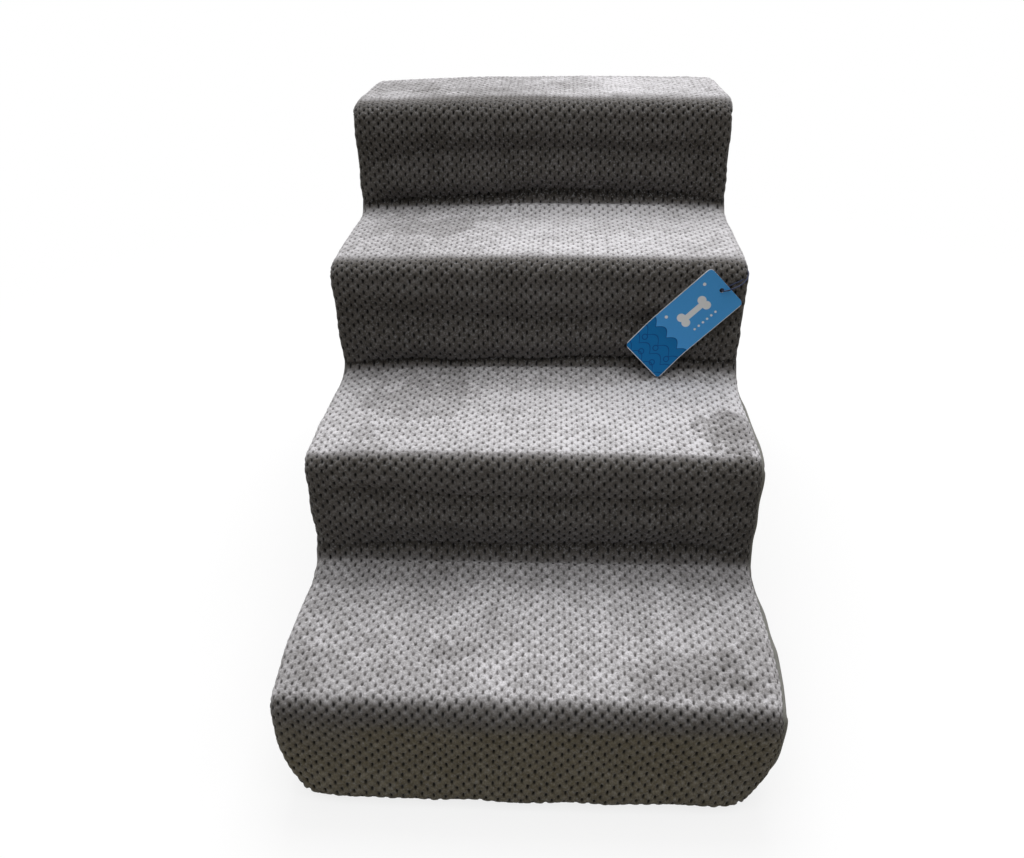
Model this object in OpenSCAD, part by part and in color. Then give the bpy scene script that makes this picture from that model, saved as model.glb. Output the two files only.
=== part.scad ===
// Foam pet stairs with four steps, in a removable plush cover that zips open at the back.
// Millimetres. The origin is on the floor at the middle of the footprint, with the front at -Y.

/* [Steps] */
// Width of the stairs, side to side
step_w = 400; // [300:5:520]
// Depth of one tread, front to back
tread = 175; // [140:5:220]
// Height of one step
rise = 112.5; // [95:0.5:150]

/* [Cover] */
// Thickness of the cover fabric with its pile
cover_t = 3; // [2:0.25:4]
// How far the treads and risers crown between their side seams
crown = 3; // [1:0.5:5]
// Radius of the front edge of each step
nose_r = 16; // [14:0.5:24]
// Radius in the corner between a tread and the riser above it
fillet_r = 6; // [3:0.5:12]
// Radius of the side edges of the treads and risers
edge_r = 9; // [7:0.5:12]
// Radius of the top edge at the back
back_edge_r = 24; // [20:1:36]
// Radius of the two bottom corners at the front, seen from the front
front_corner_r = 40; // [24:1:52]
// Radius of the two top corners at the back, seen from above
back_corner_r = 36; // [24:1:52]
// Gap between two panels at a seam
seam = 0.5; // [0.3:0.1:0.8]
// Clearance between the foam and the cover
fit = 0.5; // [0.4:0.1:1]

/* [Zip] */
// Distance of each leg of the zip from the side of the stairs
zip_inset = 50; // [45:1:70]
// Distance of the top of the zip below the top of the stairs
zip_drop = 70; // [60:1:90]
// Radius of the zip's two corners
zip_corner_r = 30; // [24:1:45]
// Height of the lower end of the teeth above the floor
zip_foot = 20; // [16:1:30]
// Distance from one tooth to the next on the same tape
tooth_pitch = 4.5; // [4:0.25:6]
// Thickness of the teeth through the tape
tooth_t = 2.8; // [2.4:0.1:3.4]
// Distance of the outer edge of the teeth from the middle of the chain
tooth_l = 3.2; // [3:0.1:3.8]
// Distance that each tooth reaches past the middle of the chain
bite = 0.8; // [0.5:0.1:1]
// Thickness of the zip tape
tape_t = 0.8; // [0.6:0.1:1]
// Distance of the outer edge of the tape from the middle of the chain
tape_l = 13; // [11:0.5:16]
// Distance of the panel edges from the middle of the chain
slot_l = 6.5; // [6.4:0.1:8]

/* [Slider] */
// Length of the slider
slider_l = 17; // [15:0.5:20]
// Width of the slider at its nose
slider_w = 12; // [11.4:0.1:12.4]
// Thickness of the slider's two plates
plate_t = 1.2; // [1:0.1:1.5]
// Running clearance round the teeth and the tape
run = 0.2; // [0.15:0.05:0.3]
// Width of the bail
bail_w = 2; // [1.6:0.1:2.4]
// Length of the bail along the slider
bail_l = 8; // [7:0.5:9]
// Thickness of the bail
bail_t = 0.9; // [0.8:0.1:1.2]
// Thickness of the pull tab
pull_t = 1.4; // [1.2:0.1:1.6]
// Length of the pull tab from its hinge
pull_l = 30; // [24:1:36]
// Width of the pull tab
pull_w = 9; // [8:0.5:11]

/* [Hang tag] */
// Length of the card
tag_l = 110; // [90:1:125]
// Width of the card
tag_w = 49; // [40:1:55]
// Thickness of the card
tag_t = 0.8; // [0.5:0.1:1]
// Radius of the card's corners
tag_r = 5; // [3:0.5:8]
// Radius of the hole for the cord
tag_hole_r = 2.2; // [2:0.1:3]
// Distance of the hole from the card's short edge
tag_hole_in = 7; // [6:0.5:9]
// Least turn of the card away from hanging straight down, in degrees
tag_turn = 46.5; // [45:0.5:60]
// Lean of the card away from the riser, in degrees
tag_lean = 6; // [4:0.5:9]
// Distance of the hole from the side of the stairs
tag_from_side = 21.5; // [20:0.5:30]
// Distance of the hole below the tread above it
tag_below = 25; // [22:0.5:30]
// Distance of the card at its hole from the front of the riser
tag_out = 2.4; // [2.2:0.1:3]
// Diameter of the cord
cord_d = 1.3; // [1:0.1:1.4]

/* [Hidden] */

steps = 4;
tag_step = 3;
depth = steps * tread;
height = steps * rise;
half_w = step_w / 2;
// Smallest radius and shortest turned edge that the cover is drawn with
least_r = 0.5;
turn_end = 0.2;
// Distance of every seam from the edge that it runs along
lip = edge_r + crown;
// Radius inside a rolled side edge, and half of the width between the rolls
roll_in = edge_r - cover_t;
flat_w = half_w - edge_r;
// Distance from the outside of the cover to the foam
skin = crown + cover_t + fit;
// Segments of the cover across a roll, a nose, a fillet and the top back edge
roll_segs = 3;
nose_segs = 3;
fillet_segs = 2;
back_segs = 4;
// Places across the flat of a step, up the bottom corner and along a riser or tread
corner_share = (half_w - front_corner_r) / flat_w;
side_shares = [corner_share, (1 + corner_share) / 2, 1];
flat_shares = [-side_shares[2], -side_shares[1], -side_shares[0], 0, each side_shares];
toe_shares = [0.1, 0.3, 0.6, 1];
middle_share = 0.5;
// Slant of the lines that the side panels are drawn along. One starts on the top tread and
// ends in the bottom corner at the back.
slant_share = 0.16;
top_shares = [1 - slant_share * (height - lip - seam) / tread, 0.8];
turn_segs = 3;
side_rows = 4;

// Zip, worked out from the sizes above
zip_x = half_w - zip_inset;
zip_top = height - zip_drop;
root_l = 2 * bite;
tooth_half = tooth_pitch * 0.18;
chain_y = depth / 2 - cover_t - tape_t / 2;
cavity = tooth_t / 2 + run;
tape_gap = tape_t / 2 + run;
tail_w = slider_w * 0.8;
stop_h = 3;
stop_gap = 0.3;
slider_z = zip_foot + slider_l / 2 + 2 * stop_h;
slider_top = chain_y + cavity + plate_t;
slider_bottom = chain_y - cavity - plate_t;
pull_r = pull_t / 2;
// The pull tab stands clear of the back panel by this much
pull_gap = 0.6;
pull_y = max(slider_top + run, depth / 2 + pull_gap) + pull_r;
bail_top = pull_y + pull_r + run + bail_t;
arm_l = bail_l / 2 + 2 * run;
arm_w = 1.7;
arm_in = bail_w / 2 + 2 * run;
back_skin = max(skin, depth / 2 - slider_bottom + stop_gap);
leg_up = zip_top - zip_corner_r - zip_foot;
leg_down = zip_top - zip_corner_r - slider_z;
bend_l = zip_corner_r * PI / 2;
across_l = 2 * (zip_x - zip_corner_r);
chain_l = leg_up + leg_down + across_l + 2 * bend_l;
tooth_count = floor(chain_l / tooth_pitch) - 1;
bend_segs = 8;
// Overrun of cuts
over = 1;

// Middle of the hole in the card
tag_at = [half_w - tag_from_side, front_y(tag_step) - tag_out, tag_step * rise - tag_below];
// How far down the card's lowest corner reaches when it is right under the hole, and the turn
// of the card. Where the steps are low, it turns further, so that the corner stays off the tread.
tag_reach = norm([tag_l - tag_hole_in, tag_w / 2]) * cos(tag_lean);
tag_lie = max(tag_turn, atan2(tag_w / 2, tag_l - tag_hole_in)
    + acos(min(1, (rise - tag_below + crown / 4) / tag_reach)));

// Route of the cord: out of the side seam, forward round the edge, through the card and back
cord_route = [
    [200.3, 12, 329], [202, 11.6, 328.8], [203.6, 9.4, 327.6], [204, 6, 325.6],
    [202.4, 1.6, 322.8], [198, -2.4, 319.6], [192, -4.8, 316.6], [186, -5.8, 314.4],
    [181.2, -5.4, 312.9], [178.7, -2.9, 312.5], [180.6, -0.1, 313.2], [184.4, 0.5, 315],
    [189.4, 0.7, 317.6], [195, 1.4, 320], [200.2, 4, 321.6], [203.2, 8, 322.2],
    [202.2, 11.4, 322.1], [200.3, 12, 322]];
cord_sides = 8;
cord_rings = 2;

function front_y(k) = (k - 1) * tread - depth / 2;
function ease(u) = let (v = min(max(u, 0), 1)) v * v * (3 - 2 * v);

// Points of an arc, ends included
function arc(c, r, a0, a1, n) =
    [for (i = [0:n]) let (a = a0 + (a1 - a0) * i / n) c + r * [cos(a), sin(a)]];

// The line of the steps from the side as [y, z], set in by d, from the turned edge under the
// front to the end of the rounded top back edge
function step_line(d, base) = let (c = max(nose_r, d + least_r)) concat(
    [[lip + turn_end - depth / 2, base], [d - depth / 2, base]],
    [for (s = toe_shares) [d - depth / 2, base + s * (front_corner_r - base)]],
    [for (k = [1:steps]) each concat(
        [[front_y(k) + d, (k - middle_share) * rise]],
        arc([front_y(k) + c, k * rise - c], c - d, 180, 90, nose_segs),
        k < steps ? inner_corner(k, d) : top_end(d))]);

function inner_corner(k, d) = concat(
    [[front_y(k) + middle_share * tread, k * rise - d]],
    arc([front_y(k + 1) - fillet_r, k * rise + fillet_r], fillet_r + d, 270, 360, fillet_segs));

function top_end(d) = let (c = max(back_edge_r, d + least_r)) concat(
    [for (s = top_shares) [front_y(steps) + s * tread, height - d]],
    arc([depth / 2 - c, height - c], c - d, 90, 0, back_segs));

// Section across the steps as [x, inset]: a roll, the crowned or flat middle, a roll
function across(r, middle) = concat(
    [for (i = [roll_segs:-1:1]) let (a = 90 * i / roll_segs) [-flat_w - r * sin(a), lip - r * cos(a)]],
    [for (s = flat_shares) [flat_w * s, middle == "crowned" ? crown * s * s : lip - r]],
    [for (i = [1:roll_segs]) let (a = 90 * i / roll_segs) [flat_w + r * sin(a), lip - r * cos(a)]]);

// Radius of the edges under the sides, larger at the front, and of the edges up the back,
// larger at the top
function foot_r(y) = lip + (front_corner_r - lip) * ease(1 - (y + depth / 2) / rise);
function head_r(z) = lip + (back_corner_r - lip) * ease(1 - (height - z) / rise);
function turn_w(q) = max(foot_r(q[0]), head_r(q[1]));

// Draws a square edge in to a round one: a and b are the distances into the corner
function drawn(a, b) = a > 0 && b > 0 ? max(a, b) / norm([a, b]) : 1;

function round_foot(p) = let (r = foot_r(p.y), a = abs(p.x) - half_w + r, b = r - p.z, s = drawn(a, b))
    s == 1 ? p : [sign(p.x) * (half_w - r + a * s), p.y, r - b * s];
function round_toe(p) = let (a = lip - depth / 2 - p.y, b = lip - p.z, s = drawn(a, b))
    s == 1 ? p : [p.x, lip - depth / 2 - a * s, lip - b * s];
function round_back(p) = let (r = head_r(p.z), a = abs(p.x) - half_w + r, b = p.y - depth / 2 + r,
        s = drawn(a, b))
    s == 1 ? p : [sign(p.x) * (half_w - r + a * s), depth / 2 - r + b * s, p.z];
function settle(p) = round_back(round_toe(round_foot(p)));

// Triangles of a quad, without those that a pole closes up
function two(a, b, c, d) =
    [for (t = [[a, b, c], [a, c, d]]) if (t[0] != t[1] && t[1] != t[2] && t[2] != t[0]) t];

// A closed sheet between two grids of points. In the first and last row, the points before
// pole are one point.
module sheet(outer, inner, pole) {
    n = len(outer);
    m = len(outer[0]);
    function at(i, j) = i * m + ((i == 0 || i == n - 1) ? max(j, pole) : j);
    function under(i, j) = n * m + at(i, j);
    polyhedron(
        points = [each for (row = outer) row, each for (row = inner) row],
        faces = concat(
            [for (i = [0:n - 2], j = [0:m - 2])
                each two(at(i, j), at(i + 1, j), at(i + 1, j + 1), at(i, j + 1))],
            [for (i = [0:n - 2], j = [0:m - 2])
                each two(under(i, j), under(i, j + 1), under(i + 1, j + 1), under(i + 1, j))],
            [for (i = [0:n - 2]) each concat(
                two(at(i + 1, 0), at(i, 0), under(i, 0), under(i + 1, 0)),
                two(at(i, m - 1), at(i + 1, m - 1), under(i + 1, m - 1), under(i, m - 1)))],
            [for (j = [0:m - 2]) each concat(
                two(at(0, j), at(0, j + 1), under(0, j + 1), under(0, j)),
                two(at(n - 1, j + 1), at(n - 1, j), under(n - 1, j), under(n - 1, j + 1)))]));
}

// A square from corner to corner, with its four corners rounded: left and right at the
// bottom, then right and left at the top
module eased(lo, hi, radii) {
    corners = [[lo.x, lo.y], [hi.x, lo.y], [hi.x, hi.y], [lo.x, hi.y]];
    inward = [[1, 1], [-1, 1], [-1, -1], [1, -1]];
    difference() {
        translate(lo) square(hi - lo);
        for (i = [0:3]) if (radii[i] > 0) difference() {
            translate(corners[i] + inward[i] * radii[i] / 2) square(radii[i], center = true);
            translate(corners[i] + inward[i] * radii[i]) circle(radii[i], $fn = 48);
        }
    }
}

// Stands an outline of x and z up, from y1 towards the front
module upright(y1, t) {
    translate([0, y1, 0]) rotate([90, 0, 0]) linear_extrude(t) children();
}

// One slab of foam: its outlines from the side, the front and above, crossed
module foam_slab(k) {
    front = front_y(k) + skin;
    back = depth / 2 - back_skin;
    low = k == 1 ? cover_t : (k - 1) * rise - skin;
    high = k * rise - skin;
    side = half_w - cover_t - fit;
    ease_r = edge_r;
    toe_r = k == 1 ? lip + cover_t : 0;
    foot = k == 1 ? front_corner_r + lip : 0;
    tail_r = k == steps ? back_edge_r : 0;
    corner = k == steps ? back_corner_r + lip : lip + cover_t;
    intersection() {
        rotate([90, 0, 90]) translate([0, 0, -side]) linear_extrude(2 * side)
            eased([front, low], [back, high], [toe_r, 0, tail_r, nose_r - cover_t]);
        upright(back, back - front) eased([-side, low], [side, high], [foot, foot, ease_r, ease_r]);
        translate([0, 0, low]) linear_extrude(high - low)
            eased([-side, front], [side, back], [ease_r, ease_r, corner, corner]);
    }
}

module foam_slab_1() { color("khaki") foam_slab(1); }
module foam_slab_2() { color("lemonchiffon") foam_slab(2); }
module foam_slab_3() { color("khaki") foam_slab(3); }
module foam_slab_4() { color("lemonchiffon") foam_slab(4); }

// The plush strip over every riser and tread, crowned outside and rolled at its side edges
module step_cover() {
    color("darkgray") sheet(
        [for (i = [0:len(step_line(0, 0)) - 1])
            [for (c = across(edge_r, "crowned")) let (q = step_line(c[1], 0)[i]) settle([c[0], q[0], q[1]])]],
        [for (i = [0:len(step_line(0, 0)) - 1])
            [for (c = across(roll_in, "flat")) let (q = step_line(c[1], cover_t)[i])
                settle([c[0], q[0], q[1]])]],
        0);
}

// The edge of a side panel along the steps, closed at the back below the cover's seam
function side_rim() = let (line = step_line(lip + seam, 0)) concat(
    [for (i = [1:len(line) - 1]) line[i]],
    [[depth / 2, line[len(line) - 1][1] - seam]]);

// Where the slanted line from p reaches the floor or the back
function foot_of(p) = p + min(p[1], (depth / 2 - p[0]) / slant_share) * [slant_share, -1];

// Places from the rim to the foot: the last but two is where the rounded edge starts
function way_shares(p, q) = let (
        under = q[1] < least_r ? foot_r(q[0]) / max(p[1], least_r) : 0,
        w = q[1] + back_corner_r / slant_share > height - rise ? back_corner_r : lip,
        behind = q[0] > depth / 2 - least_r ? w / max(q[0] - p[0], least_r) : 0,
        s = max(middle_share, 1 - max(under, behind)))
    [0, s / 2, s, (1 + s) / 2, 1];

// A column of the side panel: down its face, then turned in under or round the back
function side_column(p, x, t) = let (q = foot_of(p), w = turn_w(q)) concat(
    [for (s = way_shares(p, q)) held_in([x, p[0] + (q[0] - p[0]) * s, p[1] + (q[1] - p[1]) * s], t)],
    [for (i = [1:turn_segs]) held_in([x - (w - t) * i / turn_segs, q[0], q[1]], t)]);
function held_in(p, t) = settle([p.x, min(p.y, depth / 2 - t), max(p.z, t)]);

module side_panel() {
    sheet([for (p = side_rim()) side_column(p, half_w, 0)],
        [for (p = side_rim()) side_column(p, half_w - cover_t, cover_t)], side_rows);
}

module right_side_panel() { color("dimgray") side_panel(); }
module left_side_panel() { color("dimgray") mirror([1, 0, 0]) side_panel(); }

// Half of the outline of the flat panels under the foam and at the back, along the feet
function feet() = [for (p = side_rim()) foot_of(p)];
function base_edge() = [for (q = feet()) if (q[1] < least_r) [half_w - foot_r(q[0]) - seam, q[0]]];
function back_edge() = [for (q = feet()) if (q[0] > depth / 2 - least_r)
    [half_w - head_r(q[1]) - seam, max(q[1], cover_t)]];
function both_sides(edge) = concat(edge, [for (i = [len(edge) - 1:-1:0]) [-edge[i].x, edge[i].y]]);

module base_panel() { color("#3c3c40") linear_extrude(cover_t) polygon(both_sides(base_edge())); }

// The line of the zip as [x, z], at a distance to its outer side, from the foot z
function zip_line(l, z) = concat(
    [[-zip_x - l, z]],
    arc([zip_corner_r - zip_x, zip_top - zip_corner_r], zip_corner_r + l, 180, 90, bend_segs),
    arc([zip_x - zip_corner_r, zip_top - zip_corner_r], zip_corner_r + l, 90, 0, bend_segs),
    [[zip_x + l, z]]);
function backwards(list) = [for (i = [len(list) - 1:-1:0]) list[i]];

module back_frame_panel() {
    color("dimgray") upright(depth / 2, cover_t) difference() {
        polygon(both_sides(back_edge()));
        polygon(zip_line(slot_l, 0));
    }
}

module back_flap() { color("dimgray") upright(depth / 2, cover_t) polygon(zip_line(-slot_l, cover_t)); }

module tape(l0, l1) {
    upright(depth / 2 - cover_t, tape_t)
        polygon(concat(zip_line(l0, cover_t), backwards(zip_line(l1, cover_t))));
}
module zipper_tape_outer() { color("#4a4a4e") tape(tooth_l, tape_l); }
module zipper_tape_inner() { color("#4a4a4e") tape(-tooth_l, -tape_l); }

// A point of the chain: s along it from its lower left end, l to its outer side
function chain_at(s, l) =
    s < leg_up ? [-zip_x - l, zip_foot + s] :
    s < leg_up + bend_l ? bend([zip_corner_r - zip_x, zip_top - zip_corner_r], 180, s - leg_up, l) :
    s < leg_up + bend_l + across_l ? [zip_corner_r - zip_x + s - leg_up - bend_l, zip_top + l] :
    s < leg_up + 2 * bend_l + across_l ?
        bend([zip_x - zip_corner_r, zip_top - zip_corner_r], 90, s - leg_up - bend_l - across_l, l) :
    [zip_x + l, zip_top - zip_corner_r - (s - leg_up - 2 * bend_l - across_l)];
function bend(c, a0, s, l) = let (a = a0 - 90 * s / bend_l) c + (zip_corner_r + l) * [cos(a), sin(a)];

// A row of teeth with the bead that holds it to its tape. side is 1 outside and -1 inside.
module teeth(side, start) {
    s1 = start + (tooth_count - 1) * tooth_pitch + 2 * tooth_half;
    upright(chain_y + tooth_t / 2, tooth_t) polygon(concat(
        [for (i = [0:tooth_count - 1]) let (s = start + tooth_half + i * tooth_pitch) each [
            chain_at(s - tooth_half * 0.8, side * root_l), chain_at(s - tooth_half, -side * bite),
            chain_at(s + tooth_half, -side * bite), chain_at(s + tooth_half * 0.8, side * root_l)]],
        backwards(bead_back(start, s1, side * tooth_l))));
}
function bead_back(s0, s1, l) = concat(
    [chain_at(s0, l)],
    [for (i = [0:bend_segs]) chain_at(leg_up + bend_l * i / bend_segs, l)],
    [for (i = [0:bend_segs]) chain_at(leg_up + bend_l + across_l + bend_l * i / bend_segs, l)],
    [chain_at(s1, l)]);
module zipper_teeth_outer() { color("#2c2c2e") teeth(1, 0); }
module zipper_teeth_inner() { color("#2c2c2e") teeth(-1, tooth_pitch / 2); }

// A box across the lower left end, and a stop on each tape below the slider
module zipper_stops() {
    inner_l = root_l * 0.8;
    color("#2c2c2e") upright(chain_y + tooth_t / 2, tooth_t) {
        translate([-zip_x - tooth_l, zip_foot - stop_gap - stop_h]) square([2 * tooth_l, stop_h]);
        for (m = [0, 1]) translate([zip_x, slider_z - slider_l / 2 - stop_gap - stop_h])
            mirror([m, 0]) translate([inner_l, 0]) square([tooth_l - inner_l, stop_h]);
    }
}

// Outline of the slider's plates about its middle, with the wide nose down
module slider_outline() {
    side = [[0.25, -0.5], [0.5, -0.36], [0.5, -0.1]];
    polygon(both_sides(concat(
        [for (p = side) [p.x * slider_w, p.y * slider_l]],
        [[tail_w / 2, slider_l * 0.42], [tail_w * 0.4, slider_l / 2]])));
}
// The way through the slider: as wide as the closed chain at the tail, and wider at the nose
module channel() {
    polygon(both_sides([[slider_w / 2 - plate_t / 2, -slider_l], [tooth_l + run + run, -slider_l * 0.05],
        [tooth_l + run, 0], [tooth_l + run, slider_l]]));
}
module zipper_slider() {
    color("silver") translate([zip_x, 0, slider_z]) {
        upright(slider_top, plate_t) slider_outline();
        upright(slider_bottom + plate_t, plate_t) slider_outline();
        for (y = [slider_top - plate_t, chain_y - tape_gap])
            upright(y, cavity - tape_gap) difference() {
                slider_outline();
                channel();
            }
        upright(slider_top - plate_t / 2, slider_top - slider_bottom - plate_t)
            polygon([[0, -0.42], [0.13, -0.27], [0, -0.06], [-0.13, -0.27]] * slider_l * 0.9);
        translate([-bail_w / 2, 0, 0]) rotate([90, 0, 90]) linear_extrude(bail_w) difference() {
            eased([slider_top - plate_t / 2, -bail_l / 2], [bail_top, bail_l / 2], [0, bail_t, bail_t, 0]);
            translate([slider_top, bail_t - bail_l / 2])
                square([bail_top - bail_t - slider_top, bail_l - 2 * bail_t]);
        }
    }
}

// The tab with a window that goes over the bail, and the bar that turns under it
module zipper_pull() {
    arm_x = arm_in + arm_w;
    color("silver") translate([zip_x, pull_y, slider_z]) {
        rotate([0, 90, 0]) cylinder(r = pull_r, h = 2 * arm_x, center = true, $fn = 32);
        upright(pull_r, pull_t) difference() {
            union() {
                translate([-arm_x, -arm_l - over]) square([2 * arm_x, arm_l + over]);
                eased([-pull_w / 2, -pull_l], [pull_w / 2, -arm_l],
                    [pull_w / 3, pull_w / 3, pull_w / 4, pull_w / 4]);
            }
            translate([-arm_in, -arm_l]) square([2 * arm_in, 2 * arm_l]);
        }
    }
}

module hang_tag() {
    color("steelblue") translate(tag_at) rotate([-tag_lean, 0, 0]) rotate([0, tag_lie, 0])
        rotate([90, 0, 0]) linear_extrude(tag_t, center = true) difference() {
            eased([-tag_w / 2, tag_hole_in - tag_l], [tag_w / 2, tag_hole_in], [tag_r, tag_r, tag_r, tag_r]);
            circle(tag_hole_r, $fn = 48);
        }
}

// A smooth line through the route's points, with n pieces between each two
function smooth(p, n) = [for (i = [0:len(p) - 2], k = [0:n - 1]) curve(
        p[max(i - 1, 0)], p[i], p[i + 1], p[min(i + 2, len(p) - 1)], k / n), p[len(p) - 1]];
function curve(a, b, c, d, u) = (2 * b + (c - a) * u + (2 * a - 5 * b + 4 * c - d) * u * u
        + (3 * b - a - 3 * c + d) * u * u * u) / 2;
function unit(v) = v / norm(v);

module tag_cord() {
    line = smooth(cord_route, cord_rings);
    n = len(line);
    m = cord_sides;
    rings = [for (i = [0:n - 1]) let (t = unit(line[min(i + 1, n - 1)] - line[max(i - 1, 0)]),
            u = unit(cross(t, [0, 0, 1])), v = cross(u, t))
        [for (j = [0:m - 1]) line[i] + cord_d / 2 * (cos(360 * j / m) * u + sin(360 * j / m) * v)]];
    color("midnightblue") polyhedron(
        points = [each for (r = rings) r],
        faces = concat(
            [for (i = [0:n - 2], j = [0:m - 1]) each two(i * m + j, (i + 1) * m + j,
                (i + 1) * m + (j + 1) % m, i * m + (j + 1) % m)],
            [[for (j = [0:m - 1]) j], [for (j = [m - 1:-1:0]) (n - 1) * m + j]]));
}

foam_slab_1();
foam_slab_2();
foam_slab_3();
foam_slab_4();
step_cover();
left_side_panel();
right_side_panel();
base_panel();
back_frame_panel();
back_flap();
zipper_tape_outer();
zipper_tape_inner();
zipper_teeth_outer();
zipper_teeth_inner();
zipper_stops();
zipper_slider();
zipper_pull();
hang_tag();
tag_cord();
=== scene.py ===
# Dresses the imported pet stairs: plush over foam, knitted sides, a zipped back and a hang tag.
# Metres, in the frame of the CAD model: +Z up, the lowest step towards -Y.
import functools
import math

import bpy
import numpy as np
from mathutils import Matrix, Vector


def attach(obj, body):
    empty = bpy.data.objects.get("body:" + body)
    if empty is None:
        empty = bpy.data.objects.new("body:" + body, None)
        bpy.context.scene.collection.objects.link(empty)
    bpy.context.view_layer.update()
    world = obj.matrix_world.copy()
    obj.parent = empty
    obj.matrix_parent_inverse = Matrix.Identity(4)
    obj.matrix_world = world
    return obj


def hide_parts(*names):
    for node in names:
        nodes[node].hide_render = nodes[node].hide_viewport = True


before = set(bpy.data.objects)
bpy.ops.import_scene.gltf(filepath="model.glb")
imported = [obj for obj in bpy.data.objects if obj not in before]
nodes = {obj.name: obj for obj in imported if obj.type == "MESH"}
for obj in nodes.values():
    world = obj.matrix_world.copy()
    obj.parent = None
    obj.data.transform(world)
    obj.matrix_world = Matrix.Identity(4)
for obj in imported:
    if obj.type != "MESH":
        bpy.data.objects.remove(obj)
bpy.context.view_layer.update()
mm = 0.001
print("frame loaded")


# small helpers
def ease(t):
    t = np.clip(t, 0, 1)
    return t * t * (3 - 2 * t)


def softNoise(u, v, cell, seed):  # smooth value noise from -1 to 1, the same on every run
    table = np.random.RandomState(seed).rand(128, 128)
    a, b = np.asarray(u) / cell + 40, np.asarray(v) / cell + 40
    i, j = np.floor(a).astype(int), np.floor(b).astype(int)
    s, t = ease(a - i), ease(b - j)
    low = table[i % 128, j % 128] * (1 - s) + table[(i + 1) % 128, j % 128] * s
    high = table[i % 128, (j + 1) % 128] * (1 - s) + table[(i + 1) % 128, (j + 1) % 128] * s
    return (low * (1 - t) + high * t) * 2 - 1


def noiseSum(u, v, layers):  # layers of noise: strength, cell and seed of each
    return sum(strength * softNoise(u, v, cell, seed) for strength, cell, seed in layers)


def hump(t):  # 1 at zero, gone by two
    return np.exp(-(t ** 2))


def meshOf(points, faces):
    mesh = bpy.data.meshes.new("mesh")
    mesh.from_pydata(np.asarray(points, float).reshape(-1, 3).tolist(), [], faces)
    mesh.update()
    return mesh


def selectOnly(piece):
    bpy.ops.object.select_all(action="DESELECT")
    piece.select_set(True)
    bpy.context.view_layer.objects.active = piece


def dress(piece, materials, body, replaced=()):
    piece.data.materials.clear()
    for material in materials:
        piece.data.materials.append(material)
    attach(piece, body)
    if replaced:
        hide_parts(*replaced)
    return piece


def put(mesh, name, material, body, replaced=()):
    piece = bpy.data.objects.new(name, mesh)
    bpy.context.scene.collection.objects.link(piece)
    mesh.name = name
    mesh.polygons.foreach_set("use_smooth", np.full(len(mesh.polygons), True))
    return dress(piece, [material], body, replaced)


def copyOfNode(node, name, flatter=0):  # a CAD node's mesh as a piece, doubles merged and flats made whole
    piece = bpy.data.objects.new(name, nodes[node].data.copy())
    bpy.context.scene.collection.objects.link(piece)
    selectOnly(piece)
    bpy.ops.object.mode_set(mode="EDIT")
    bpy.ops.mesh.select_all(action="SELECT")
    bpy.ops.mesh.remove_doubles(threshold=0.01 * mm)
    if flatter:
        bpy.ops.mesh.dissolve_limited(angle_limit=math.radians(flatter))
    bpy.ops.object.mode_set(mode="OBJECT")
    return piece


def smallBall(size, segments, rings):  # a ball with these half sizes, to be copied
    bpy.ops.object.select_all(action="DESELECT")
    bpy.ops.mesh.primitive_uv_sphere_add(segments=segments, ring_count=rings, radius=1)
    ball = bpy.context.object
    bpy.ops.transform.resize(value=size)
    bpy.ops.object.transform_apply(scale=True)
    return ball


def pointsOf(mesh, what="co"):
    values = np.zeros(len(mesh.vertices) * 3)
    mesh.vertices.foreach_get(what, values)
    return values.reshape(-1, 3)


def copiesOf(source, turns):  # one mesh of many copies; the source goes
    points, faces = pointsOf(source.data), [list(f.vertices) for f in source.data.polygons]
    allPoints = np.concatenate([points @ np.asarray(turn).T + place for turn, place in turns])
    allFaces = [[i + n * len(points) for i in f] for n in range(len(turns)) for f in faces]
    bpy.data.objects.remove(source)
    return meshOf(allPoints, allFaces)


def floatOn(mesh, name, values):
    layer = mesh.attributes.new(name, "FLOAT", "POINT")
    full = np.zeros(len(mesh.vertices), np.float32)
    values = np.asarray(values, np.float32).ravel()
    full[: len(values)] = values
    layer.data.foreach_set("value", full)


def uvOn(mesh, name, pairs):
    full = np.zeros((len(mesh.vertices), 2), np.float32)
    pairs = np.asarray(pairs, np.float32).reshape(-1, 2)
    full[: len(pairs)] = pairs
    loops = np.zeros(len(mesh.loops), np.int32)
    mesh.loops.foreach_get("vertex_index", loops)
    mesh.uv_layers.new(name=name).data.foreach_set("uv", full[loops].ravel())


def gridFaces(n, m, first=0, flip=False):
    i, j = np.meshgrid(np.arange(n - 1), np.arange(m - 1), indexing="ij")
    a = (first + i * m + j).ravel()
    quads = np.stack([a, a + 1, a + m + 1, a + m], 1)
    return (quads[:, ::-1] if flip else quads).tolist()


def rim(n, m, first=0):  # the grid's edge, once round
    top = [first + j for j in range(m)]
    right = [first + i * m + m - 1 for i in range(1, n)]
    low = [first + (n - 1) * m + j for j in range(m - 2, -1, -1)]
    left = [first + i * m for i in range(n - 2, 0, -1)]
    return top + right + low + left


def bridge(a, b):  # joins two rims that have their own numbers of points
    faces, i, j = [], 0, 0
    while i < len(a) or j < len(b):
        if j >= len(b) or (i < len(a) and (i + 1) / len(a) <= (j + 1) / len(b)):
            faces.append([a[i % len(a)], b[j % len(b)], a[(i + 1) % len(a)]])
            i += 1
        else:
            faces.append([a[i % len(a)], b[j % len(b)], b[(j + 1) % len(b)]])
            j += 1
    return faces


def normalsOf(grid):
    u, v = np.gradient(grid, axis=1), np.gradient(grid, axis=0)
    n = np.cross(u, v)
    return n / np.maximum(np.linalg.norm(n, axis=2, keepdims=True), 1e-12)


def everyNth(grid, step):  # a coarser copy that keeps the first and last rows
    rows, columns = (np.unique(np.append(np.arange(0, n, step), n - 1)) for n in grid.shape[:2])
    return grid[np.ix_(rows, columns)]


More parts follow.
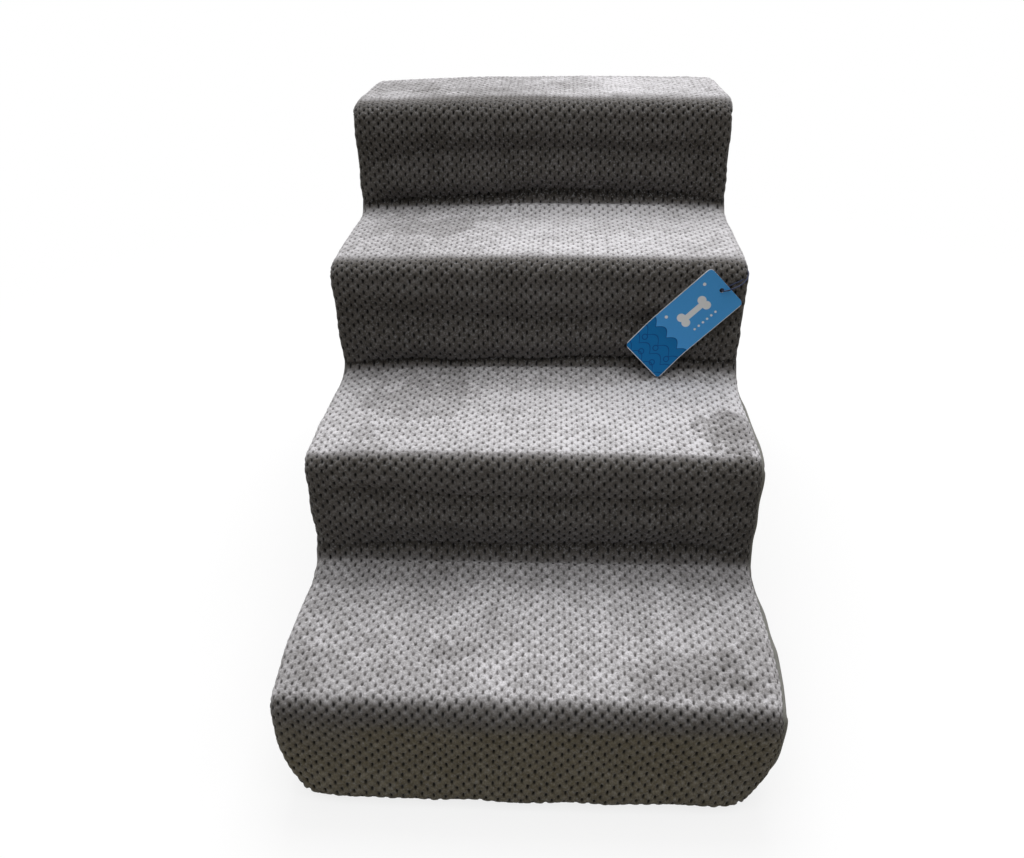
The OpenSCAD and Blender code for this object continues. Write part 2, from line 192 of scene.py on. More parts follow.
def shellOf(outer, inner, flip=False):  # a closed sheet between two grids
    n, m = outer.shape[:2]
    p, q = inner.shape[:2]
    faces = gridFaces(n, m, 0, flip) + gridFaces(p, q, n * m, not flip)
    edge = bridge(rim(n, m), rim(p, q, n * m))
    faces += edge if flip else [f[::-1] for f in edge]
    return meshOf(np.concatenate([outer.reshape(-1, 3), inner.reshape(-1, 3)]), faces)


# materials
class Nodes:  # short calls for the nodes of one material or world
    def __init__(self, owner):
        owner.use_nodes = True
        self.owner, self.tree = owner, owner.node_tree

    def node(self, kind, inputs=None, **settings):
        made = self.tree.nodes.new("ShaderNode" + kind)
        for key, value in settings.items():
            setattr(made, key, value)
        for key, value in (inputs or {}).items():
            self.set(made.inputs[key], value)
        return made

    def set(self, socket, value):
        if isinstance(value, bpy.types.NodeSocket):
            self.tree.links.new(value, socket)
        elif isinstance(value, bpy.types.Node):
            self.tree.links.new(value.outputs[0], socket)
        else:
            socket.default_value = value

    def finish(self, **values):
        shader = self.tree.nodes["Principled BSDF"]
        for key, value in values.items():
            self.set(shader.inputs[key.replace("_", " ")], value)
        return self.owner

    def math(self, operation, a, b=0.0, clamp=False):
        return self.node("Math", {0: a, 1: b}, operation=operation, use_clamp=clamp)

    def plus(self, a, b, clamp=False):
        return self.math("ADD", a, b, clamp)

    def minus(self, a, b):
        return self.math("SUBTRACT", a, b)

    def times(self, a, b, clamp=False):
        return self.math("MULTIPLY", a, b, clamp)

    def larger(self, a, b):
        return self.math("MAXIMUM", a, b)

    def apart(self, a, b):
        return self.math("ABSOLUTE", self.minus(a, b))

    def length(self, a, b):
        return self.math("SQRT", self.plus(self.times(a, a), self.times(b, b)))

    def mix(self, share, a, b, blend="MIX"):
        return self.node("Mix", {0: share, 6: a, 7: b}, data_type="RGBA", blend_type=blend).outputs[2]

    def ramp(self, source, low, high, a=0.0, b=1.0):
        return self.node("MapRange", {0: source, 1: low, 2: high, 3: a, 4: b})

    def place(self, scale=1.0):
        where = self.node("TexCoord").outputs["Object"]
        return self.node("Mapping", {"Vector": where, "Scale": (scale, scale, scale)})

    def noise(self, place, scale, detail, roughness=0.5):
        inputs = {"Vector": place, "Scale": scale, "Detail": detail, "Roughness": roughness}
        return self.node("TexNoise", inputs)

    def bump(self, height, strength, distance):
        return self.node("Bump", {"Height": height, "Strength": strength, "Distance": distance})


def newMaterial(name):
    return Nodes(bpy.data.materials.new(name))


def rgb(r, g, b):
    return (r, g, b, 1.0)


# the pile's colours: dark is the pile in painted shade on the risers and light the pile in painted light on
# the treads; the olive pair is a painted warm floor bounce; pit, deep pit and shade are painted shade; fuzz
# is a painted sheen on fibre tips
plushLook = {
    "dark": rgb(0.051, 0.043, 0.032), "light": rgb(0.70, 0.685, 0.705), "floorBounceTint": rgb(0.068, 0.052, 0.014),
    "floorBounceTintLight": rgb(0.70, 0.665, 0.60), "pit": rgb(0.30, 0.29, 0.28), "deepPitShade": rgb(0.07, 0.07, 0.07),
    "fuzzSheen": rgb(0.34, 0.34, 0.35), "shade": rgb(0.12, 0.12, 0.12), "sheen": rgb(0.85, 0.85, 0.9),
    "fluffScale": 700.0, "layScale": 330.0, "speckScale": 430.0,
    "column": 4.93, "rowsUp": 5.0, "rowsDown": 6.25, "slotWide": 1.15, "slotTall": 2.7,  # of a pit, in mm
}


def plushMaterial():  # the pile's own tone, mixed from painted shade to painted light, with painted shade in its grooves, pits and tucks and a painted sheen of light fuzz
    n, look = newMaterial("wafflePlush"), plushLook
    place = n.place()
    pileToneAndLight, floorBounceTint = (n.node("Attribute", attribute_name=name).outputs["Fac"] for name in ("pileToneAndLight", "floorBounceTint"))
    grid = n.node("SeparateXYZ", {0: n.node("UVMap", uv_map="tufts").outputs[0]})
    p, q = (n.math("PINGPONG", grid.outputs[k], 0.5) for k in (0, 1))
    a, b = (n.minus(n.math("FRACT", n.plus(grid.outputs[k], 0.5)), 0.5) for k in (0, 1))
    across = n.times(n.plus(a, b), look["column"] / look["slotWide"])
    up, down = n.times(a, look["rowsUp"] / look["slotTall"]), n.times(b, look["rowsDown"] / look["slotTall"])
    hole = n.ramp(n.length(across, n.minus(up, down)), 0.55, 1.25)
    groove = n.ramp(n.math("MINIMUM", p, q), 0.0, 0.16)
    fluff = n.noise(place, look["fluffScale"], 3.0, 0.65)
    lay = n.noise(place, look["layScale"], 2.0)
    tone = n.times(pileToneAndLight, n.ramp(fluff, 0.3, 0.7, 0.6, 1.4))
    tone = n.times(tone, n.ramp(lay, 0.3, 0.7, 0.68, 1.32), clamp=True)
    # painted warm light bounced from the floor tints the lowest riser's colours
    dark, light = n.mix(floorBounceTint, look["dark"], look["floorBounceTint"]), n.mix(floorBounceTint, look["light"], look["floorBounceTintLight"])
    colour = n.mix(tone, dark, light)
    colour = n.mix(n.ramp(pileToneAndLight, 0.0, 0.085, 0.8, 0.0), colour, look["shade"], "MULTIPLY")
    # a painted sheen: light specks of fuzz, most where the pile is dim
    speck = n.noise(place, look["speckScale"], 2.0, 0.7)
    fuzzSheen = n.times(n.ramp(speck, 0.52, 0.72, 0.0, 0.55), n.ramp(pileToneAndLight, 0.12, 0.4, 1.0, 0.1))
    colour = n.mix(fuzzSheen, colour, look["fuzzSheen"])
    # painted shade in the grooves between the tufts and in the pits, darkest on the risers, over the real
    # shading of their relief
    colour = n.mix(n.ramp(groove, 0.0, 1.0, 0.22, 0.0), colour, look["pit"], "MULTIPLY")
    deep = n.mix(n.ramp(pileToneAndLight, 0.15, 0.5), look["deepPitShade"], look["pit"])
    colour = n.mix(n.ramp(hole, 0.0, 1.0, 0.95, 0.0), colour, deep, "MULTIPLY")
    height = n.plus(fluff, n.times(lay, 0.6))
    return n.finish(Base_Color=colour, Roughness=0.95, Specular_IOR_Level=0.12, Sheen_Weight=0.35,
                    Sheen_Roughness=0.45, Sheen_Tint=look["sheen"], Normal=n.bump(height, 0.7, mm))


knitLook = {"stitch": 5200.0, "cloudScale": 22.0, "fibreScale": 1400.0, "sheen": 0.15}


def knitMaterial(name, dark, light, scale=1.0):
    n = newMaterial(name)
    place = n.place(scale)
    x, y, z = n.node("SeparateXYZ", {0: place}).outputs
    ribs = n.math("SINE", n.times(n.plus(x, y), knitLook["stitch"]))
    weave = n.times(ribs, n.math("SINE", n.times(z, knitLook["stitch"])))
    cloud = n.noise(place, knitLook["cloudScale"], 4.0)
    fibre = n.noise(place, knitLook["fibreScale"], 2.0)
    tone = n.plus(n.ramp(weave, -1.0, 1.0, 0.2, 0.8), n.ramp(fibre, 0.3, 0.7, -0.3, 0.3))
    tone = n.plus(tone, n.ramp(cloud, 0.3, 0.7, -0.25, 0.25), clamp=True)
    return n.finish(Base_Color=n.mix(tone, dark, light), Roughness=0.9, Specular_IOR_Level=0.2,
                    Sheen_Weight=knitLook["sheen"], Sheen_Roughness=0.5,
                    Normal=n.bump(n.plus(weave, fibre), 0.35, 0.3 * mm))


def foamMaterial():
    n = newMaterial("openCellFoam")
    place = n.place()
    cells = n.node("TexVoronoi", {"Vector": place, "Scale": 420.0})
    cloud = n.noise(place, 8.0, 3.0)
    colour = n.mix(n.ramp(cells, 0.0, 0.7), rgb(0.52, 0.43, 0.24), rgb(0.8, 0.72, 0.48))
    colour = n.mix(n.ramp(cloud, 0.35, 0.65, 0.0, 0.3), colour, rgb(0.84, 0.78, 0.6))
    return n.finish(Base_Color=colour, Roughness=0.95, Normal=n.bump(cells, 0.6, mm))


def metalMaterial():
    n = newMaterial("castZipMetal")
    place = n.place()
    grain, wear = n.noise(place, 900.0, 3.0), n.noise(place, 260.0, 4.0)
    colour = n.mix(n.ramp(wear, 0.4, 0.62), rgb(0.46, 0.46, 0.47), rgb(0.66, 0.66, 0.67))
    return n.finish(Base_Color=colour, Metallic=1.0, Roughness=n.ramp(grain, 0.3, 0.7, 0.28, 0.46),
                    Normal=n.bump(grain, 0.12, 0.2 * mm))


def grainMaterial(name, dark, light, grain, span, roughness, bump, **more):  # one grain in tone and relief
    n = newMaterial(name)
    noise = n.noise(n.place(), *grain)
    return n.finish(Base_Color=n.mix(n.ramp(noise, *span), dark, light), Roughness=roughness,
                    Normal=n.bump(noise, *bump), **more)


def threadMaterial(name, dark, light):
    return grainMaterial(name, dark, light, (2600.0, 2.0), (0.3, 0.7), 0.85, (0.4, 0.3 * mm),
                         Sheen_Weight=0.2)


plush = plushMaterial()
sideKnit = knitMaterial("sideKnit", rgb(0.15, 0.149, 0.134), rgb(0.27, 0.268, 0.245))
gripCloth = knitMaterial("gripCloth", rgb(0.02, 0.02, 0.022), rgb(0.06, 0.06, 0.064), 0.6)
tapeCloth = knitMaterial("zipTapeCloth", rgb(0.03, 0.03, 0.032), rgb(0.08, 0.08, 0.085), 1.4)
foam = foamMaterial()
castMetal = metalMaterial()
teethPlastic = grainMaterial("mouldedTeeth", rgb(0.02, 0.02, 0.022), rgb(0.045, 0.045, 0.048),
                             (700.0, 2.0), (0.35, 0.65), 0.42, (0.15, 0.2 * mm))
sewingThread = threadMaterial("sewingThread", rgb(0.05, 0.05, 0.05), rgb(0.12, 0.12, 0.12))
cordThread = threadMaterial("navyCord", rgb(0.012, 0.018, 0.05), rgb(0.035, 0.05, 0.12))
rubber = grainMaterial("rubberDots", rgb(0.03, 0.03, 0.032), rgb(0.06, 0.06, 0.064),
                       (800.0, 2.0), (0.0, 1.0), 0.6, (0.2, 0.3 * mm))
print("materials made")

# the line that the plush strip follows: flats and arcs from under the front to the top of the back
steps = {
    "count": 4, "tread": 0.175, "rise": 0.1125, "halfWidth": 0.2, "halfDepth": 0.35, "noseR": 0.016,
    "filletR": 0.006, "backR": 0.024, "turnUnder": 0.0002, "rollR": 0.009, "crown": 0.003, "seam": 0.0005,
    "cornerFrontR": 0.049, "cornerBackR": 0.036, "cornerTall": 0.35,
}
lip = steps["rollR"] + steps["crown"]
flatWidth = steps["halfWidth"] - steps["rollR"]
height = steps["count"] * steps["rise"]


def frontOf(k):
    return (k - 1) * steps["tread"] - steps["halfDepth"]


def lineParts():
    r, f, back = steps["noseR"], steps["filletR"], steps["backR"]
    parts = [("toe", 0, "flat", (frontOf(1) + lip + steps["turnUnder"], 0, frontOf(1), 0))]
    for k in range(1, steps["count"] + 1):
        low = 0 if k == 1 else (k - 1) * steps["rise"] + f
        top = k * steps["rise"]
        parts.append(("riser", k, "flat", (frontOf(k), low, frontOf(k), top - r)))
        parts.append(("nose", k, "arc", (frontOf(k) + r, top - r, r, 180, 90)))
        if k < steps["count"]:
            parts.append(("tread", k, "flat", (frontOf(k) + r, top, frontOf(k + 1) - f, top)))
            parts.append(("corner", k, "arc", (frontOf(k + 1) - f, top + f, f, 270, 360)))
        else:
            parts.append(("tread", k, "flat", (frontOf(k) + r, top, steps["halfDepth"] - back, top)))
            parts.append(("back", k, "arc", (steps["halfDepth"] - back, top - back, back, 90, 0)))
    return parts


def partLength(kind, d):
    if kind == "flat":
        return math.hypot(d[2] - d[0], d[3] - d[1])
    return math.radians(abs(d[4] - d[3])) * d[2]


stripParts, stripLength = [], 0
for name, k, kind, d in lineParts():
    size = partLength(kind, d)
    stripParts.append((name, k, kind, d, stripLength, size))
    stripLength += size


def baseLine(v):  # the line at v along it: y, z and the outward direction
    y, z, ny, nz = (np.zeros(len(v)) for _ in range(4))
    for name, k, kind, d, start, size in stripParts:
        here = (v >= start - 1e-9) & (v <= start + size + 1e-9)
        t = (v[here] - start) / size
        if kind == "flat":
            y[here], z[here] = d[0] + (d[2] - d[0]) * t, d[1] + (d[3] - d[1]) * t
            ny[here], nz[here] = {"riser": (-1, 0), "tread": (0, 1), "toe": (-t, 0)}[name]
        else:
            a = np.radians(d[3] + (d[4] - d[3]) * t)
            side = -1 if name == "corner" else 1
            y[here], z[here] = d[0] + d[2] * np.cos(a), d[1] + d[2] * np.sin(a)
            ny[here], nz[here] = side * np.cos(a), side * np.sin(a)
    return y, z, ny, nz


def partAt(name, k):  # where a part starts and how long it is
    return next((start, size) for n, j, _, _, start, size in stripParts if (n, j) == (name, k))


def placesOf(rows):  # where rows that start with a step, a part and a share of it stand
    parts = [partAt(name, k) for k, name, *_ in rows]
    return [start + size * row[2] for (start, size), row in zip(parts, rows)]


def footR(y):
    return lip + (steps["cornerFrontR"] - lip) * ease(1 - (y + steps["halfDepth"]) / steps["rise"])


def headR(z):
    return lip + (steps["cornerBackR"] - lip) * ease(1 - (height - z) / steps["rise"])


def drawnIn(a, b, r):  # a square edge drawn in to a round one: a and b are the ways into it
    inside = (a > 0) & (b > 0)
    s, t = np.clip(a / r, 0, 1), np.clip(b / r, 0, 1)
    roundA, roundB = r * s * np.sqrt(1 - t * t / 2), r * t * np.sqrt(1 - s * s / 2)
    return np.where(inside, roundA, a), np.where(inside, roundB, b)


# how the front of the foot leans to the left: in mm at the middle, more to the right, and how far it goes
footLean = {"middle": 4.4, "more": 2.4, "across": 0.15, "up": 0.085, "from": -0.12, "over": 0.16}


def leanAt(x, y, z):
    lean = (footLean["middle"] + footLean["more"] * np.clip(x / footLean["across"], -1, 1)) * mm
    return lean * ease(1 - z / footLean["up"]) * ease((footLean["from"] - y) / footLean["over"])


def settle(p):  # eases the box's edges into the rounded foot, toe and back
    x, y, z = p[..., 0], p[..., 1], p[..., 2]
    half, deep = steps["halfWidth"], steps["halfDepth"]
    r = footR(y)
    tall = 1 + steps["cornerTall"] * ease(1 - (y + deep) / steps["rise"])
    a, b = drawnIn(np.abs(x) - half + r, r - z / tall, r)
    x, z = np.sign(x) * (half - r + a), (r - b) * tall
    a, b = drawnIn(lip - deep - y, lip - z, lip)
    y, z = lip - deep - a, lip - b
    r = headR(z)
    a, b = drawnIn(np.abs(x) - half + r, y - deep + r, r)
    return np.stack([np.sign(x) * (half - r + a), deep - r + b, z], -1)


# how far the sides swell out along the line: step, part, share of it, mm
swells = [
    (1, "riser", 0.0, 1.5), (1, "riser", 0.35, 3.2), (1, "riser", 0.9, 4.8), (1, "tread", 0.1, 5.2),
    (1, "tread", 0.4, 6.5), (1, "tread", 0.75, 4.5), (1, "corner", 0.5, 1.8), (2, "riser", 0.5, 3.5),
    (2, "nose", 0.5, 4.6), (2, "tread", 0.35, 4.4), (2, "corner", 0.5, 0.6), (3, "riser", 0.5, 4.2),
    (3, "nose", 0.5, 5.8), (3, "tread", 0.3, 6.8), (3, "tread", 0.7, 5.0), (3, "corner", 0.5, 2.8),
    (4, "riser", 0.5, 4.2), (4, "nose", 0.5, 5.2), (4, "tread", 0.3, 9.4), (4, "tread", 0.65, 6.6),
    (4, "back", 1.0, 1.0),
]


def swellAt(v):
    return np.interp(v, placesOf(swells), [size * mm for *_, size in swells])


# how far round its side edges the plush reaches: less on the right of the two lowest steps
sideReach = {"full": 90.0, "short": 34.0, "over": 0.06}


def reachAt(v):
    t = ease((partAt("riser", 3)[0] - v) / sideReach["over"])
    return np.radians(sideReach["full"] + (sideReach["short"] - sideReach["full"]) * t)


# folds of the risers, in mm: heights above the tread below at seven places across, and how far out each is
foldPlaces = np.array([-190, -145, -80, -20, 60, 125, 190]) * mm
riserFolds = {
    4: [
        ([84, 83, 82, 82, 80, 77, 72], 2.0), ([54, 60, 65, 65, 65, 64, 60], -2.6),
        ([25, 29, 31, 34, 37, 38, 28], 5.0), ([7, 9, 12, 19, 19, 17, 8], -2.4),
    ],
    3: [
        ([88, 87, 80, 76, 74, 72, 72], 2.0), ([66, 63, 59, 57, 55, 54, 54], -2.4),
        ([30, 25, 26, 30, 31, 32, 30], 4.6), ([5, 8, 10, 12, 13, 14, 9], -2.0),
    ],
    2: [
        ([90, 91, 88, 86, 86, 85, 84], 1.4), ([76, 79, 75, 74, 73, 71, 70], -1.2),
        ([52, 46, 46, 47, 46, 44, 42], 4.0), ([17, 19, 21, 21, 21, 22, 14], -2.2),
    ],
    1: [
        ([80, 78, 76, 75, 75, 75, 75], 0.2), ([50, 50, 52, 55, 55, 52, 50], 1.0),
        ([14, 14, 14, 14, 14, 14, 14], 6.0),
    ],
}
# sharp creases in them: step, heights in mm, depth and width in mm, ends across in mm
creases = [
    (4, [47, 62, 65, 65, 65, 64, 62], 1.5, 3.0, -200, 150),
    (4, [8, 10, 13, 20, 20, 18, 9], 2.6, 3.2, -185, 175),
    (4, [86, 86, 84, 83, 81, 79, 74], 0.6, 3.0, -190, 190),
    (3, [67, 61.5, 59.5, 56.5, 55.5, 54, 53], 1.8, 2.6, -200, 120),
    (3, [8, 9, 10, 12, 13, 14, 10], 2.3, 2.4, -185, 160),
    (3, [49, 48, 48, 48, 48, 48, 48], 0.9, 2.4, -200, -140),
    (2, [78, 81, 75.5, 75.5, 73, 73, 72], 1.3, 2.2, -190, 130),
    (2, [42, 49, 61, 64, 64, 64, 64], 1.1, 2.6, -165, -80),
    (2, [15, 18, 21, 21, 21, 22, 14], 2.0, 4.4, -170, 180),
]
# painted shade down a riser, in bands under its folds and darkest at the tuck above the tread below: heights
# in mm across it, share of its own tone
riserShades = {
    4: [
        ([90, 90, 89, 88, 86, 84, 80], 1.0), ([83, 83, 82, 81, 79, 77, 72], 0.72),
        ([50, 63, 67, 67, 67, 66, 64], 0.68), ([46, 59, 62, 62, 62, 61, 59], 0.76),
        ([22, 26, 30, 32, 34, 34, 26], 0.72), ([12, 15, 18, 24, 24, 22, 13], 0.6),
        ([7, 8, 11, 17, 17, 15, 8], 0.16), ([3, 4, 7, 11, 11, 10, 4], 0.5), ([0, 1, 3, 5, 5, 4, 0], 0.9),
    ],
    3: [
        ([86, 86, 83, 79, 77, 77, 77], 1.0), ([78, 78, 76, 72, 70, 70, 70], 0.78),
        ([69, 64, 62, 59, 57.5, 56, 55], 0.72), ([63, 59, 56, 52, 51, 50, 49], 0.70),
        ([24, 24, 26, 28, 30, 30, 26], 0.74), ([9, 12, 14, 16, 17, 18, 13], 0.8),
        ([6, 8, 10, 12, 13, 14, 9], 0.12), ([2, 4, 6, 8, 9, 10, 5], 0.7), ([0, 0, 0, 1, 1, 2, 0], 1.0),
    ],
    2: [
        ([86, 88, 83, 82, 80, 80, 79], 1.0), ([78, 81, 75.5, 75.5, 73, 73, 72], 0.7),
        ([73, 76, 70, 70, 68, 68, 67], 0.72), ([52, 52, 52, 52, 52, 52, 52], 0.84),
        ([40, 40, 41, 42, 42, 40, 36], 0.72), ([22, 24, 26, 26, 26, 27, 19], 0.8),
        ([16, 19, 21, 21, 21, 22, 14], 0.42), ([6, 7, 8, 8, 8, 8, 5], 0.75), ([0, 0, 0, 1, 1, 1, 0], 1.0),
    ],
}
# up to where the strip bridges the corner behind each tread, in mm above the tread
cornerEdges = {1: [6, 10, 12, 12, 12, 11, 6], 2: [3, 5, 8, 10, 10, 9, 5], 3: [3, 5, 9, 15, 15.5, 14, 4]}
# how far the ends of each nose are drawn in, left and right, and how far that reaches along the line, in mm
noseEase = {1: (0.8, 2.4, 18), 2: (1.0, 1.0, 14), 3: (1.0, 1.0, 14), 4: (0.8, 2.2, 15)}
# the strip's slow forms: dents as strength, cell and seed, and how its corners and crease ends run out
stripForms = {
    "dents": [(0.5 * mm, 0.045, 3), (0.35 * mm, 0.018, 5)], "cornerShare": 0.48, "cornerWidth": 0.015,
    "creaseLeft": 0.02, "creaseRight": 0.03, "wander": 2 * mm, "wanderCell": 0.04, "wanderStretch": 0.3,
    "cornerFade": 0.8, "foldHeld": 0.75, "heldFrom": 0.15, "heldOver": 0.045, "noseFrom": 0.165,
    "noseOver": 0.035, "noseSink": 0.7, "noseAt": 0.6, "swellFrom": 0.09, "swellOver": 0.1,
}


def acrossFolds(x, values):
    return np.interp(x, foldPlaces, np.array(values) * mm)


def creaseAt(k, x, z):  # how deep the sharp creases are
    deep = np.zeros_like(x)
    for step, heights, depth, width, left, right in creases:
        if step == k:
            near = hump((z - acrossFolds(x, heights)) / (width * mm))
            near = near * ease((x - left * mm) / stripForms["creaseLeft"])
            deep = deep + depth * mm * near * ease((right * mm - x) / stripForms["creaseRight"])
    return deep


def alongRiser(k, x, v):  # the height on riser k, wandering a little, and how much of it is there
    start, size = partAt("riser", k)
    first = 0 if k == 1 else steps["filletR"]
    here = np.ones_like(x) if k == 1 else ease((v - start + first) / (stripForms["cornerFade"] * first))
    along = v * stripForms["wanderStretch"] + k
    wander = stripForms["wander"] * softNoise(x, along, stripForms["wanderCell"], 11 + k)
    return np.clip(v - start + first + wander, 0, None), np.where(v < start + size, here, 0)


def downRiser(x, z, first, rows):  # a value that starts and ends as first and goes from row to row between
    total, before = np.full_like(x, first), first
    top = np.full_like(x, steps["rise"] - steps["noseR"])
    for places, value in rows + [([0] * len(foldPlaces), first)]:
        low = acrossFolds(x, places)
        total += (value - before) * ease((top - z) / np.maximum(top - low, 0.1 * mm))
        top, before = low, value
    return total


def cornerDrawn(v, right):  # how far the plush is drawn in at one end of each nose
    total = np.zeros_like(v)
    for k, (onLeft, onRight, reach) in noseEase.items():
        start, length = partAt("nose", k)
        near = hump((v - start - stripForms["noseAt"] * length) / (reach * mm))
        total = total + (onRight if right else onLeft) * mm * near
    return total


def riserRelief(k, x, z):  # the folds, held flatter near the sides
    held = 1 - stripForms["foldHeld"] * ease((np.abs(x) - stripForms["heldFrom"]) / stripForms["heldOver"])
    return downRiser(x, z, 0.0, riserFolds[k]) * held * mm


def stripRelief(x, v):  # dents, folds and bridged corners
    relief = noiseSum(x, v, stripForms["dents"])
    for k in range(1, steps["count"] + 1):
        z, here = alongRiser(k, x, v)
        relief = relief + here * (riserRelief(k, x, z) - creaseAt(k, x, z))
    for k, edge in cornerEdges.items():
        start, size = partAt("corner", k)
        near = hump((v - start - size / 2) / stripForms["cornerWidth"])
        relief = relief + acrossFolds(x, edge) * stripForms["cornerShare"] * near
    return relief


# the tufts: a slanted grid of pillows with a deep pit where four of them meet
tufts = {
    "column": 4.928 * mm, "perColumn": 5, "dv": 1.25 * mm, "rise": 0.7 * mm, "groove": 0.35 * mm,
    "round": 0.4, "pit": 2.0 * mm, "slot": (0.95 * mm, 2.3 * mm), "pitEdge": 1.2,
    "wanderU": [(1.1 * mm, 0.035, 21), (0.45 * mm, 0.007, 22)],
    "wanderV": [(1.1 * mm, 0.035, 31), (0.45 * mm, 0.007, 32)], "ownStrength": 0.28, "ownTone": 0.17,
    "strength": [(0.22, 0.011, 41)], "rough": [(0.16 * mm, 0.0024, 71)],
}
tuftPlush = {
    "fill": 0.9, "thickness": 3 * mm, "tuck": 2.2 * mm, "tuckOver": 2.5 * mm, "fadeOver": 6 * mm,
    "sideFade": 0.4, "sideFrom": 5 * mm, "sideOver": 14 * mm, "innerStep": 7, "floorBounceTintOver": 0.02,
    "floorBounceTintNoise": [(0.5, 0.05, 59)],
}


def tuftPhase(u, v):
    # slots stand in columns: from one to its neighbours is a column over and 4 rows up or 5 rows down
    a, b = u / tufts["column"], v / tufts["dv"]
    return (5 * a + b) / 9, (4 * a - b) / 9


def tuftHeight(p, q):
    pillow = np.abs(np.sin(np.pi * p) * np.sin(np.pi * q)) ** tufts["round"]
    a, b = p - np.round(p), q - np.round(q)
    u, v = (a + b) * tufts["column"], (4 * a - 5 * b) * tufts["dv"]
    pit = np.exp(-((u / tufts["slot"][0]) ** 2 + (v / tufts["slot"][1]) ** 2) ** tufts["pitEdge"])
    return tufts["rise"] * pillow - tufts["groove"] * (1 - pillow) - tufts["pit"] * pit


def tuftGrid(u, v):  # which tuft each point is on, as p and q, and that tuft's own share from -1 to 1
    p, q = tuftPhase(u + noiseSum(u, v, tufts["wanderU"]), v + noiseSum(u, v, tufts["wanderV"]))
    each = np.random.RandomState(7).rand(512, 512)
    return p, q, each[np.floor(p).astype(int) % 512, np.floor(q).astype(int) % 512] * 2 - 1


def acrossStrip(u, reach):  # x and inset of the section, with the roll cut short at reach
    a = np.clip((np.abs(u) - flatWidth) / steps["rollR"], 0, math.pi / 2)
    a = np.where(u > 0, a * reach / (math.pi / 2), a)
    x = np.where(a > 0, flatWidth + steps["rollR"] * np.sin(a), np.abs(u))
    flat = steps["crown"] * np.clip(np.abs(u) / flatWidth, 0, 1) ** 2
    return np.sign(u) * x, flat + steps["rollR"] * (1 - np.cos(a)), a


def stripGrid(u, v):
    y, z, ny, nz = (a[:, None] for a in baseLine(v))
    x, inset, a = acrossStrip(u[None, :] + 0 * y, reachAt(v)[:, None])
    free = np.stack([x, y - inset * ny, z - inset * nz], -1)
    grid = settle(free)
    shift = grid - free
    swollen = ease((np.abs(u) - stripForms["swellFrom"]) / stripForms["swellOver"]) * swellAt(v)[:, None]
    drawn = np.where(u > 0, cornerDrawn(v, True)[:, None], cornerDrawn(v, False)[:, None])
    drawn = drawn * ease((np.abs(u) - stripForms["noseFrom"]) / stripForms["noseOver"])
    grid[..., 0] += np.sign(u) * (swollen - drawn)
    grid[..., 0] -= leanAt(grid[..., 0], grid[..., 1], grid[..., 2])
    grid[..., 2] -= stripForms["noseSink"] * drawn
    return grid, u[None, :] + shift[..., 0] * np.cos(a), v[:, None] + shift[..., 1] * nz - shift[..., 2] * ny


def makeTuftPlush():
    look = tuftPlush
    half = flatWidth + steps["rollR"] * math.pi / 2
    across = int(round(half / (tufts["column"] / tufts["perColumn"])))
    u = np.linspace(-half, half, 2 * across + 1)
    v = np.linspace(0, stripLength, int(round(stripLength / tufts["dv"])) + 1)
    grid, ua, va = stripGrid(u, v)
    normal, relief = normalsOf(grid), stripRelief(ua, va)
    edge, ends = (half - np.abs(u))[None, :], np.minimum(v, stripLength - v)[:, None]
    tuck = look["tuck"] * (1 - ease(np.minimum(edge, ends) / look["tuckOver"]))
    p, q, own = tuftGrid(ua, va)
    strength = 1 + noiseSum(ua, va, tufts["strength"]) + tufts["ownStrength"] * own
    fade = ease(edge / look["fadeOver"]) * ease(ends / look["fadeOver"])
    fade = fade * (1 - look["sideFade"] * (1 - ease((edge - look["sideFrom"]) / look["sideOver"])))
    tuft = tuftHeight(p, q) * strength + noiseSum(ua, va, tufts["rough"])
    outer = grid + normal * (relief + tuft * fade - tuck)[..., None]
    inner = everyNth(grid + normal * (relief - tuck - look["thickness"])[..., None], look["innerStep"])
    mesh = shellOf(outer, inner)
    # the pile's tone, with painted light on the treads and painted shade on the risers, noses, inner corners
    # and tucks
    floatOn(mesh, "pileToneAndLight", pileToneAndLightOf(ua, va) * (1 + tufts["ownTone"] * own))
    lowest = ease((partAt("nose", 1)[0] - va) / look["floorBounceTintOver"])  # the lowest riser gets a painted warm tint of light bounced from the floor
    floatOn(mesh, "floorBounceTint", lowest * (1 + noiseSum(ua, va, look["floorBounceTintNoise"])))
    uvOn(mesh, "tufts", np.stack([p, q], -1))
    piece = put(mesh, "tuftPlush", plush, "stairs", ["step_cover"])


# where the pile lies the other way and looks darker, and on step 2 at 122 mm across and 150 mm deep a painted
# shadow of the tag: step, across and depth in mm, sizes, strength
pileToneAndLightPatches = [
    (1, 122, 27, 52, 27, 0.38), (1, -110, 125, 60, 35, 0.22), (1, -20, 70, 30, 22, 0.2),
    (1, 160, 20, 26, 14, 0.3), (1, -190, 16, 26, 30, 0.3), (1, 178, 40, 26, 34, 0.25),
    (1, -62, 45, 17, 14, 0.35), (2, 178, 44, 30, 40, 1.2), (2, 122, 150, 40, 16, 0.5),
    (2, -110, 95, 60, 40, 0.5), (2, 10, 120, 60, 14, 0.2), (2, -20, 75, 16, 12, 0.3),
    (3, 95, 90, 75, 22, 0.18), (3, -110, 95, 45, 30, 0.4), (3, 150, 50, 30, 30, 0.3),
    (4, 40, 90, 30, 30, 0.35), (4, -90, 60, 60, 16, 0.3), (4, -80, 14, 110, 26, 0.4),
    (4, -150, 90, 40, 30, 0.35), (4, 110, 30, 40, 12, 0.3), (3, 20, 60, 40, 12, 0.3),
    (3, -40, 120, 50, 12, 0.35),
]
